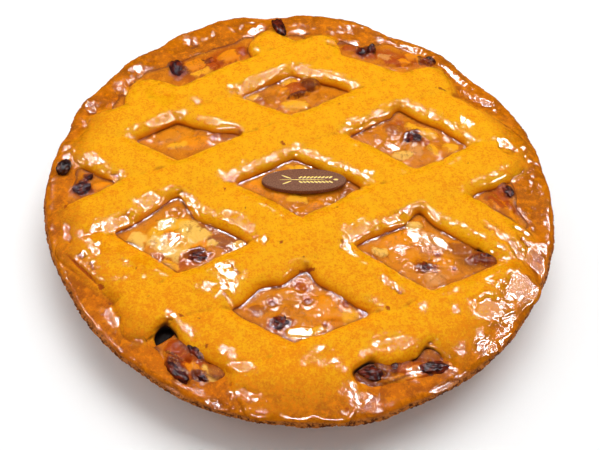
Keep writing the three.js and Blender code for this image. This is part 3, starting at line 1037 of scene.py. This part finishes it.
thick = add("case_to_thin_out", case_mesh)
underside = thick.vertex_groups.new(name="underside")
underside.add(np.flatnonzero(corners(case_mesh)[:, 2] < UNDERSIDE_TOP).tolist(), 1, "REPLACE")
thinning = thick.modifiers.new("thin_out", "DECIMATE")
thinning.ratio = CASE_KEPT
thinning.vertex_group = "underside"
case_mesh = finished_mesh(thick)
move_to(case_mesh, inside_the_box(corners(case_mesh)))
piece("lattice", lattice_mesh, pastry, STRIPS, sharp=50)
piece("case", case_mesh, pastry, ["crust"], sharp=60)

# %% [markdown]
# ## The filling
# What shows in each opening is fruit under a thick amber syrup. A sheet of small cells is raised over each
# piece of fruit and left level between them, which gives the rounded, wet look of something coated. Each
# row below is one piece of fruit or one stain in the syrup, by opening. The colour of each row is painted
# on the corners that it covers.

# %% Colours of fruit and syrup
TINTS = {
    "syrup": (0.64, 0.190, 0.003), "bright": (0.72, 0.225, 0.004), "brown": (0.38, 0.095, 0.006),
    "cream": (0.93, 0.54, 0.10), "yellow": (0.92, 0.42, 0.014), "orange": (0.86, 0.265, 0.003),
    "red": (0.42, 0.055, 0.003), "dark": (0.12, 0.016, 0.005), "purple": (0.34, 0.095, 0.025),
    "pink": (0.72, 0.29, 0.07), "black": (0.010, 0.005, 0.004),
}

# %% Stains in the syrup, wide and flat: x, y, length, width, turn, colour
STAINS = [
    (0, 66, 74, 34, 8, "syrup"), (-27, 61, 18, 9, 10, "brown"), (20, 69, 30, 12, 0, "syrup"),
    (-72, 26, 62, 22, 8, "bright"), (-46, 32, 18, 14, 0, "brown"), (-94, 24, 16, 12, 0, "orange"),
    (62, 38, 62, 30, -4, "syrup"), (50.6, 47.7, 16, 11, 10, "red"), (60, 41, 17, 12, 10, "brown"),
    (0, -2, 62, 30, 4, "syrup"), (-24, -4, 20, 12, 0, "orange"), (24, -2, 18, 9, 0, "brown"),
    (-64, -42, 58, 40, 4, "bright"), (-36, -40, 22, 14, 0, "purple"), (-63, -58, 30, 9, 0, "red"),
    (68, -38, 66, 36, 0, "bright"), (94, -38, 24, 16, 10, "dark"), (54, -34, 24, 20, 0, "orange"),
    (66, -46, 13, 10, 0, "brown"), (12, -76, 66, 38, 0, "bright"), (-8, -82, 26, 18, 0, "syrup"),
    (17, -75, 26, 18, 0, "orange"), (3, -64, 16, 8, 0, "red"), (-4.6, -86, 16, 12, 0, "red"),
    (-60, 86, 60, 22, 38, "red"), (48, 105, 56, 14, -10, "red"), (-112, -12, 30, 16, -30, "syrup"),
    (108, 2, 34, 16, -60, "red"), (-46, -108, 46, 18, -40, "red"), (56, -103, 50, 14, 8, "red"),
    (41, -107, 20, 10, 0, "dark"), (70, -101, 16, 8, 8, "dark"), (-77, 75, 14, 10, 40, "dark"),
]

# %% Fruit that stands up under the syrup: x, y, length, width, rise, turn, colour
FRUIT = [
    (-8.3, 56.8, 18, 8.5, 2.0, 8, "yellow"), (-16.5, 67, 10, 5, 2.4, 55, "orange"),
    (-35, 61.5, 14, 8, 1.0, 25, "yellow"), (-28, 69, 15, 9, 0.6, 30, "syrup"),
    (14, 66, 24, 12, 0.7, 5, "syrup"), (-14, 77, 12, 6, 1.2, 10, "yellow"),
    (-9.3, 70, 13, 11, 3.2, 30, "red"), (-7, 66, 15, 4, 3.4, 32, "dark"),
    (-0.7, 75.5, 13, 9, 3.4, 10, "dark"), (-80, 25, 18, 9, 0.8, 25, "bright"),
    (-62, 23, 18, 9, 0.9, 15, "orange"), (-71, 20, 12, 5, 0.6, 20, "yellow"),
    (-47, 30, 12, 8, 0.8, 0, "brown"), (-58, 30, 10, 6, 0.6, 0, "syrup"),
    (65.6, 46.2, 22, 6.5, 1.8, -24, "yellow"), (82.3, 35, 12, 9, 1.4, 10, "yellow"),
    (55.2, 27.6, 13, 6, 1.2, 10, "cream"), (49, 46, 13, 9, 0.9, 0, "brown"),
    (40, 41, 14, 11, 0.6, 0, "syrup"), (76, 32, 11, 9, 0.7, 0, "syrup"), (61.6, 33, 9, 11, 1.2, 10, "pink"),
    (92, 38, 9, 6, 0.8, 0, "syrup"), (69, 38, 4, 4, 1.2, 0, "red"),
    (71.9, 33.3, 8, 3.5, 1.0, -50, "yellow"), (39.5, 51.7, 14, 5, 0.7, 35, "yellow"),
    (-3, 12, 13, 5, 0.3, 0, "yellow"), (-2, -10.5, 13, 6, 0.9, 5, "yellow"),
    (-12, -8, 9, 6, 0.6, 0, "orange"), (8, -12, 9, 6, 0.9, 20, "orange"),
    (-24, -4, 11, 6, 0.5, -20, "orange"), (24, -3, 9, 5, 0.5, 10, "brown"),
    (-62, -42, 31, 24, 2.2, 12, "yellow"), (-53, -38, 15, 17, 2.2, 40, "cream"),
    (-67, -50, 22, 9, 2.0, -30, "cream"), (-82, -47.5, 15, 10, 1.7, 70, "cream"),
    (-68, -34.5, 11, 8, 1.9, 20, "cream"), (-64, -42, 11, 8, 2.2, 0, "orange"),
    (-38, -42, 16, 9, 1.6, -10, "purple"), (-28.9, -42, 6, 5, 1.6, 30, "cream"),
    (-48, -33, 10, 7, 0.8, 0, "brown"), (-42.8, -44.3, 4.5, 4, 1.4, 0, "cream"),
    (-62.8, -59, 10, 4, 0.8, 0, "yellow"), (-49, -46, 10, 6, 1.0, 30, "orange"),
    (55, -31, 20, 12, 1.4, 25, "orange"), (42.6, -39.4, 10, 6, 1.3, -20, "cream"),
    (71.8, -53, 13, 9, 1.4, 0, "pink"), (70.6, -29, 20, 9, 1.5, -20, "pink"),
    (85, -33, 14, 10, 1.2, 0, "brown"), (75.7, -42, 12, 8, 0.9, 0, "orange"),
    (60, -45, 11, 8, 0.8, 40, "bright"), (97, -38, 14, 8, 1.6, 15, "dark"),
    (60.3, -21, 10, 6, 1.6, 10, "cream"), (17, -76, 27, 15, 1.8, 5, "orange"),
    (-2, -71, 14, 9, 1.0, 0, "bright"), (6, -91, 18, 8, 1.6, 12, "yellow"),
    (-7, -81, 16, 9, 0.9, 20, "syrup"), (30, -80, 12, 8, 1.0, -20, "yellow"),
    (-17, -80, 10, 6, 0.9, 0, "brown"), (14, -88, 9, 4, 0.8, 20, "yellow"),
    (-22, -73, 13, 8, 0.5, 40, "syrup"), (22, -69, 13, 8, 1.3, -30, "bright"),
    (-70, 83, 15, 10, 2.2, 35, "orange"), (-60.8, 82.3, 10, 8, 2.4, 35, "red"),
    (-51, 92.6, 15, 10, 2.4, 30, "orange"), (-66, 76, 13, 6, 1.6, 30, "yellow"),
    (-63, 87, 9, 5, 2.5, 60, "dark"), (-45, 97.5, 9, 7, 2.4, 30, "red"), (49, 101.6, 17, 8, 2.0, 8, "red"),
    (61.6, 106, 15, 8, 2.2, -12, "orange"), (21.8, 109, 11, 7, 1.8, 0, "red"),
    (43.5, 104, 9, 6, 1.4, 0, "pink"), (68, 103, 12, 4, 2.2, -20, "dark"), (75, 98, 7, 5, 1.2, 0, "orange"),
    (55, 101, 8, 4, 2.3, -10, "orange"), (34, 103, 9, 6, 1.4, 20, "red"),
    (-105, -14, 12, 7, 1.0, 0, "orange"), (-117, -10, 9, 6, 1.4, 30, "syrup"),
    (-100, -16, 7, 5, 0.9, 0, "cream"), (109, -5, 24, 7, 2.2, -48, "orange"),
    (110, 10, 12, 8, 2.0, -60, "red"), (103, 3, 9, 6, 1.2, 0, "brown"), (113, -3, 9, 4, 2.5, -60, "red"),
    (105, 0, 12, 4, 1.6, -40, "red"), (-51.5, -105.5, 13, 11, 1.6, -20, "red"),
    (-43, -105, 14, 7, 2.4, -45, "red"), (-49, -115, 17, 8, 2.2, -35, "red"),
    (-36.3, -116, 12, 7, 1.6, -35, "cream"), (-43.8, -110, 10, 5, 2.6, -30, "red"),
    (-32, -114, 9, 6, 1.2, -30, "brown"), (-42, -115, 8, 5, 2.6, -30, "orange"),
    (-52, -110.6, 13, 3.5, 2.9, -35, "dark"), (55.5, -104, 13, 7, 2.0, 15, "red"),
    (46.8, -105.5, 12, 7, 2.2, -30, "orange"), (62.7, -104, 12, 5, 1.8, 20, "orange"),
    (68, -96, 12, 6, 1.2, 20, "brown"), (80, -100, 9, 5, 1.0, 20, "orange"),
    (54, -110, 26, 5, 1.4, 8, "orange"), (62, -109, 12, 3, 1.9, 20, "red"),
]

# %% [markdown]
# Where the jelly boiled, bubbles burst and left ring-shaped waves with a dark red drop in the middle. Round
# each raisin the jelly climbs up a little. Both are what gives the small curled reflections. In the opening
# at the lower left, steam left a deep hole beside the fruit, and its floor is painted black as painted
# shadow.

# %% Bubbles in the jelly: x, y, radius of the ring, whether a red drop lies in it
BUBBLES = [
    (-9.4, -75.2, 3.2, True), (7.9, -72.7, 3.4, True), (27.2, -72.4, 2.7, True), (3.4, -64.1, 4.6, False),
    (35.5, -76.1, 2.2, True), (17.5, -85, 2.2, True), (-65, -26.4, 3.8, False), (73.1, -38, 2.4, True),
    (-51.7, -104.3, 2.6, False), (-102, -16, 2.2, False), (71.9, -47.6, 2.0, True), (24, -64.5, 4.5, False),
    (-52, 26, 2.6, False), (88, 30, 3.0, False), (46, 33, 3.0, False), (-88, 24, 2.4, False),
    (81.8, -45.3, 1.6, True), (-15, 5, 2.4, False), (16, -9, 2.4, False), (-34, -48, 2.4, False),
]

# %% Raisins in the openings: x, y, middle height, length, width, height, turn
RAISINS = [
    (60.1, 40.6, 31.6, 11, 7.5, 5, 10), (-49.8, -52, 31.4, 10.5, 7, 4.6, 5),
    (-4.6, -85.8, 31.6, 9, 8, 5, 20), (66.1, -46, 31.5, 9, 7, 4.6, -10), (97.5, -37, 31.7, 13, 7, 5, 14),
    (16.8, -60.6, 33.0, 6.5, 5, 4.4, 70), (-81, 78, 32.6, 13, 8, 6, -60),
    (34.8, 108.4, 33.8, 6.5, 6, 7, 70), (29.6, 106.5, 32.4, 9, 7, 5.5, 10),
    (-116.2, -17, 32.6, 10, 8, 5.5, 30), (112.8, 7.6, 33.0, 8, 6.5, 6, -60),
    (41, -108.5, 32.4, 15, 8.5, 5.5, 4), (70, -102.8, 33.0, 15, 6.5, 5.5, 10),
    (-43, -106, 33.4, 11, 6, 5, -45), (-49.5, -117, 32.8, 15, 6.5, 5.5, -35),
    (-38.4, -118, 32.4, 7, 4.5, 4, -35), (-3, -132.5, 31.0, 17, 5, 4, 2), (71, 104, 32.8, 8, 5, 4.6, -30),
    (50.8, -105, 33.0, 6, 4.5, 4, 60), (-115, -9, 32.2, 6, 5, 4, 50),
]

# %% Lay out the sheet of syrup
COARSE_CELL = 2.2
FINE_CUTS = 3
SYRUP_LEVEL = 31.0
SYRUP_RADIUS = 130
SYRUP_BOTTOM = 25.8
SHOWN_BEYOND = 3.0
UNDER_THE_ROOF = 0.025
ROOF_REACH = 0.02

faces = [face.vertices for face in lattice_mesh.polygons]
roof = BVHTree.FromPolygons([corner.co for corner in lattice_mesh.vertices], faces)


def shows(spot):
    """Whether a place on the syrup, or a place close beside it, lies open to the sky."""
    steps = [(0, 0)] + [(math.cos(k * math.pi / 4), math.sin(k * math.pi / 4)) for k in range(8)]
    low = Vector((spot.x, spot.y, UNDER_THE_ROOF))
    beside = [low + Vector((a, b, 0)) * SHOWN_BEYOND * MM for a, b in steps]
    return any(roof.ray_cast(place, (0, 0, 1), ROOF_REACH)[0] is None for place in beside)


cells = round(2 * SYRUP_RADIUS / COARSE_CELL)
sheet = bmesh.new()
bmesh.ops.create_grid(sheet, x_segments=cells, y_segments=cells, size=SYRUP_RADIUS * MM)
outside = [corner for corner in sheet.verts if corner.co.length > SYRUP_RADIUS * MM]
bmesh.ops.delete(sheet, geom=outside, context="VERTS")
shown = {e for face in sheet.faces if shows(face.calc_center_median()) for e in face.edges}
bmesh.ops.subdivide_edges(sheet, edges=list(shown), cuts=FINE_CUTS, use_grid_fill=True)
edge = [e for e in sheet.edges if e.is_boundary]
skirt = bmesh.ops.extrude_edge_only(sheet, edges=edge)["geom"]
low_ring = [g for g in skirt if isinstance(g, bmesh.types.BMVert)]
for corner in low_ring:
    corner.co.z = (SYRUP_BOTTOM - SYRUP_LEVEL) * MM
bmesh.ops.contextual_create(sheet, geom=[g for g in skirt if isinstance(g, bmesh.types.BMEdge)])
bmesh.ops.recalc_face_normals(sheet, faces=sheet.faces)
bmesh.ops.translate(sheet, verts=sheet.verts, vec=(0, 0, SYRUP_LEVEL * MM))
syrup_mesh = mesh_from(sheet)
print("the sheet has", len(syrup_mesh.vertices), "corners")

# %% Work out its height and its colours
SYRUP_SWELLS = [(0.35, 17, 7), (0.30, 6, 8), (0.10, 2.6, 12)]
MENISCUS = 0.6
MENISCUS_REACH = 1.1
STEAM_HOLE = {"x": -62.2, "y": -98.6, "length": 20, "width": 8.5, "turn": 40, "squareness": 3.5}
STEAM_HOLE_DEPTH = 3.8

points = corners(syrup_mesh)
top = points[:, 2] > SYRUP_BOTTOM + 1
bent = wandering(points, 2.3, 5, seed=5, octaves=4)
formed = wandering(points, 1.5, 11, seed=13)
height = swells(points, SYRUP_SWELLS, SYRUP_LEVEL)
tint = np.tile(np.array(TINTS["syrup"]), (len(points), 1))


def stain(tint, share, name):
    return tint * (1 - share[:, None]) + np.array(TINTS[name]) * share[:, None]


for *place, name in STAINS:
    tint = stain(tint, 0.85 * soft_step(1.2, 0.3, oval(bent, *place)), name)
raised = np.zeros(len(points))
for x, y, length, width, rise, turn, name in FRUIT:
    lump = np.clip(oval(formed, x, y, length, width, turn), 0, 1)
    raised = np.maximum(raised, rise * (1 - lump ** 3) ** 0.6)
    tint = stain(tint, 0.9 * soft_step(1.05, 0.82, oval(bent, x, y, length, width, turn)), name)
lively = np.zeros(len(points))
for x, y, radius, has_drop in BUBBLES:
    away = np.hypot(points[:, 0] - x, points[:, 1] - y)
    lively = np.maximum(lively, soft_step(radius * 1.9, radius * 1.4, away))
    raised += 0.55 * np.exp(-((away - radius) / 0.9) ** 2) - 0.35 * np.exp(-((away / radius) ** 2))
    if has_drop:
        raised += 0.9 * soft_step(radius * 0.62, 0, away)
        tint = stain(tint, soft_step(radius * 0.85, radius * 0.3, away), "dark")
        tint = stain(tint, 0.5 * soft_step(radius * 1.6, radius * 0.5, away), "red")
for x, y, z, length, width, thick, turn in RAISINS:
    inside = oval(bent, x, y, length, width, turn, squareness=2)
    raised += 0.9 * soft_step(1.5, 0.9, inside)
    lively = np.maximum(lively, soft_step(1.7, 1.4, inside))
    tint = stain(tint, 0.75 * soft_step(1.6, 0.9, inside), "red")
    tint = stain(tint, 0.9 * soft_step(1.25, 0.85, inside), "dark")
print("fruit and bubbles rise by up to", round(float(raised.max()), 1), "mm")

# %% Let it climb the walls and sink into the steam hole, paint shade along the walls and in the hole, and keep its colours
sunk = soft_step(1.1, 0.75, oval(points, **STEAM_HOLE))
height = (height + raised) * (1 - sunk) + (SYRUP_LEVEL - STEAM_HOLE_DEPTH) * sunk
to_wall = distance_to(roof, points, top & (radius_of(points) < 126))
clinging = (1 - np.clip(to_wall / MENISCUS_REACH, 0, 1)) ** 2 * patches(points, 14, 15, -0.3, 0.1)
height += MENISCUS * clinging * (1 - sunk)
# painted shade: the syrup is painted brown within 3 mm of the strips' walls and dark right beside them
tint = stain(tint, 0.5 * soft_step(3.0, 0.6, to_wall), "brown")
tint = stain(tint, 0.7 * soft_step(1.1, 0.2, to_wall), "dark")
# painted shadow: the floor of the steam hole is painted black
tint = stain(tint, sunk, "black")
points[top, 2] = height[top]
print("corners in the steam hole:", int((sunk[top] > 0.5).sum()))
move_to(syrup_mesh, points)
layer = syrup_mesh.attributes.new("tint", "FLOAT_COLOR", "POINT")
layer.data.foreach_set("color", np.column_stack([tint, np.ones(len(tint))]).astype(np.float32).ravel())

# %% Press flats into the syrup as well
SYRUP_FLATS = [
    (-64.9, -47.6, 22, 9, 60), (-69, -35, 11, 7, 20), (4.5, -90.5, 15, 8, 20), (63.4, -29.1, 17, 9, -36),
    (75, -31, 12, 6, -30), (49.8, 32.5, 9, 5, -20), (-30, -44, 8, 5, 20), (54.9, -36.1, 8, 5, 20),
    (61, -105, 8, 4, 20),
]
LIP_SHADE = (92, 100)
CLIMBS_WITHIN = (104, 96)

facing = normals(syrup_mesh)
points = corners(syrup_mesh)
reach = radius_of(points)
sparkling = np.zeros(len(points))
for row in SYRUP_FLATS:
    press_flat(points, bent, facing, sparkling, tube_places, SYRUP_LEVEL - 1, row)
move_to(syrup_mesh, points)
patchy = 0.05 + 0.95 * patches(points, 7, 40, 0.15, 0.4)
climbing = soft_step(0.02, 0.15, clinging) * soft_step(*CLIMBS_WITHIN, reach)
in_shade = 1 - 0.75 * soft_step(*LIP_SHADE, reach)
wet = np.maximum.reduce([patchy * in_shade, sparkling, lively * in_shade, climbing])
standing = np.maximum.reduce([sparkling, 0.3 * lively * in_shade, climbing])
print("corners pressed flat in the syrup:", int((sparkling > 0.5).sum()))
mark(syrup_mesh, "sparkling", sparkling)
mark(syrup_mesh, "sunk", sunk)
mark(syrup_mesh, "wet", wet * (1 - sunk))
mark(syrup_mesh, "standing", standing * (1 - sunk))

# %% [markdown]
# ## The finish of the syrup
# Boiled jelly is clear, so the light comes from the fruit under it: the painted colour is cloudy, not flat.
# Where the jelly stands thick, its coat is as smooth as glass, and where it soaked in, the fruit is dull.

# %% Mix the filling paint and finish the filling
CLOUD_RED = colour(0.30, 0.055, 0.003)
CLOUD_GOLD = colour(0.86, 0.36, 0.02)


def filling_paint():
    paint = Paint("syrup_over_fruit", Roughness=0.05, **JELLY)
    cloud = paint.noise(5, detail=4, roughness=0.65, distortion=0.6)
    fine = paint.noise(1.2, detail=3, roughness=0.7)
    base = paint.attribute("tint", "Color")
    base = paint.over(base, CLOUD_RED, cloud + (fine - 0.5) * 0.6, 0.50, 0.70, 0.5)
    base = paint.over(base, CLOUD_GOLD, fine - (cloud - 0.5) * 0.6, 0.52, 0.72, 0.4)
    # painted shadow: the steam hole is painted near black
    base = paint.mix(paint.attribute("sunk"), base, PAINTED_SHADOW_BLACK)
    paint.set(Base_Color=base, Coat_Weight=paint.attribute("standing"))
    rippled = 0.25 + paint.step(paint.noise(9), 0.42, 0.6) * 0.75
    glitter = paint.noise(0.8, detail=0) * (0.02 + paint.attribute("sparkling") * 0.5)
    paint.bump(paint.noise(2.6, detail=1, roughness=0.35) * rippled + glitter, 0.28)
    paint.dull_where_dry(paint.attribute("wet"), DRY_ROUGHNESS * 0.6, DRY_GLOSS)
    return paint


syrup = add("syrup", syrup_mesh)
smoothing(syrup, 2)
piece("filling_under_syrup", finished_mesh(syrup), filling_paint(), ["filling"], sharp=60)

# %% [markdown]
# ## Raisins
# A raisin is a skin that has shrunk round its flesh, so its folds run lengthwise and meet at the ends. Each
# one starts from an icosphere; ridges of noise that is stretched along the raisin push it in and out. All
# raisins in the openings are one piece, and the two on the lip stand for their own solids.

# %% Shape one raisin
def raisin(x, y, z, length, width, height, turn, detail=4):
    """One wrinkled raisin with its middle at a point; sizes in mm."""
    shape = bmesh.new()
    bmesh.ops.create_icosphere(shape, subdivisions=detail, radius=1)
    seed = Vector((x, y, z))
    for corner in shape.verts:
        spot = corner.co.copy()
        stretched = Vector((spot.x * 0.8, spot.y * 2.4, spot.z * 2.4)) + seed
        ridge = 1 - abs(noise.noise(stretched)) * 2
        crease = 1 - abs(noise.noise(stretched * 2.3)) * 2
        slump = 0.42 * noise.noise(spot * 1.1 + seed)
        corner.co = spot * (0.78 + 0.20 * ridge + 0.07 * crease + slump)
    low, high = [Vector([pick(v.co[i] for v in shape.verts) for i in range(3)]) for pick in (min, max)]
    for corner in shape.verts:
        share = [(corner.co[i] - low[i]) / (high[i] - low[i]) - 0.5 for i in range(3)]
        corner.co = Vector((share[0] * length, share[1] * width, share[2] * height)) * MM
    place = Matrix.Translation(seed * MM) @ Matrix.Rotation(math.radians(turn), 4, "Z")
    bmesh.ops.transform(shape, matrix=place, verts=shape.verts)
    return shape


def raisin_paint(name, skin_colour, flesh_colour):
    paint = Paint(name, Roughness=0.06, Specular_IOR_Level=0.16)
    cloud = paint.noise(3.4, detail=3, roughness=0.6)
    paint.set(Base_Color=paint.over(skin_colour, flesh_colour, cloud, 0.42, 0.66))
    paint.bump(paint.noise(1.4, detail=1), 0.16)
    return paint


# %% Set the raisins in the openings
SUNK = 0.6
raisins_shape = joined([raisin(x, y, z - SUNK, *rest) for x, y, z, *rest in RAISINS])
dark_paint = raisin_paint("raisin_skin", colour(0.030, 0.006, 0.005), colour(0.20, 0.022, 0.005))
piece("raisins_in_syrup", mesh_from(raisins_shape), dark_paint)

# %% Replace the two raisins that lie on the lip: node, turn, length, width, height, paint
burnt_paint = raisin_paint("burnt_raisin", colour(0.012, 0.005, 0.004), colour(0.10, 0.020, 0.006))
ON_LIP = [("raisin_left", 70, 11, 7.5, 5, burnt_paint), ("raisin_back", 115, 15, 8, 6, dark_paint)]
for node, turn, length, width, thick, paint in ON_LIP:
    low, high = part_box(node)
    x, y = (low + high).to_2d() / 2 / MM
    shape = raisin(x, y, high.z / MM - thick / 2, length, width, thick, turn)
    piece(node + "_skin", mesh_from(shape), paint, [node])

# %% [markdown]
# ## The chocolate plaque
# The plaque is cast in a flat mould, so it is a plain oval tablet with a soft edge. A circle is extruded,
# its edges are bevelled while it is still round, and then it is squeezed to an oval.

# %% Cast the plaque
PLAQUE_LENGTH = 46
PLAQUE_WIDTH = 15.5
PLAQUE_TURN = math.radians(7)
EDGE_ROUND = 0.9 * MM
plaque_low, plaque_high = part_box("plaque")
middle = (plaque_low + plaque_high) / 2

tablet = bmesh.new()
bmesh.ops.create_circle(tablet, cap_ends=True, segments=128, radius=PLAQUE_LENGTH / 2 * MM)
grown = bmesh.ops.extrude_face_region(tablet, geom=tablet.faces[:])["geom"]
tablet_top = [g for g in grown if isinstance(g, bmesh.types.BMVert)]
bmesh.ops.translate(tablet, verts=tablet_top, vec=(0, 0, (plaque_high - plaque_low).z))
bmesh.ops.recalc_face_normals(tablet, faces=tablet.faces)
rims = [e for e in tablet.edges if e.calc_face_angle(0) > 1]
bmesh.ops.bevel(tablet, geom=rims, offset=EDGE_ROUND, affect="EDGES", segments=5, profile=0.5, material=-1)
squeeze = Matrix.Diagonal((1, PLAQUE_WIDTH / PLAQUE_LENGTH, 1, 1))
to_place = Matrix.Translation((middle.x, middle.y, plaque_low.z)) @ Matrix.Rotation(PLAQUE_TURN, 4, "Z")
bmesh.ops.transform(tablet, matrix=to_place @ squeeze, verts=tablet.verts)

chocolate = Paint("dark_chocolate", Roughness=0.6, Specular_IOR_Level=0.06)
grain = chocolate.noise(0.7, detail=3, roughness=0.7)
shade = chocolate.over(colour(0.16, 0.058, 0.026), colour(0.30, 0.118, 0.058), grain, 0.35, 0.7)
chocolate.set(Base_Color=shade)
chocolate.bump(grain, 0.12)
piece("chocolate_plaque", mesh_from(tablet), chocolate, ["plaque"], sharp=45)

# %% [markdown]
# ## A sprig on the plaque
# The plaque is decorated with a plain ear of wheat in yellow cocoa butter: a thin stem, and pairs of grains
# that lean away from it. Each grain is a squashed ball, so it catches the light as a printed drop does.

# %% Draw the ear of wheat
GRAIN_PAIRS = 9
GRAIN_SPACING = 2.05
GRAIN_LEAN = 32
LEAF_LEAN = 24
STEM_LENGTH = 32
PRINT_HEIGHT = 0.35
SUNK_IN = 0.1


def grain_at(along, across, turn, length, width):
    shape = bmesh.new()
    bmesh.ops.create_uvsphere(shape, u_segments=16, v_segments=8, radius=0.5 * MM)
    size = Matrix.Diagonal((length, width, PRINT_HEIGHT, 1))
    place = Matrix.Translation((along * MM, across * MM, 0)) @ Matrix.Rotation(math.radians(turn), 4, "Z")
    bmesh.ops.transform(shape, matrix=place @ size, verts=shape.verts)
    return shape


sprig = [grain_at(-1, 0, 0, STEM_LENGTH, 0.55), grain_at(17.2, 0, 0, 3.4, 1.3)]
for i in range(GRAIN_PAIRS):
    for side in (-1, 1):
        sprig.append(grain_at(-2 + i * GRAIN_SPACING, side * 1.55, side * GRAIN_LEAN, 3.1, 1.25))
for side in (-1, 1):
    sprig.append(grain_at(-9.5, side * 1.9, -side * LEAF_LEAN, 7.0, 1.0))
motif = joined(sprig)
on_top = Matrix.Translation((0, 0, plaque_high.z - SUNK_IN * MM - plaque_low.z))
bmesh.ops.transform(motif, matrix=to_place @ on_top, verts=motif.verts)
cocoa_butter = Paint("yellow_cocoa_butter", Roughness=0.45)
shade = cocoa_butter.mix(cocoa_butter.noise(0.8), colour(0.90, 0.62, 0.015), colour(0.78, 0.46, 0.010))
cocoa_butter.set(Base_Color=shade)
piece("wheat_ear", mesh_from(motif), cocoa_butter)
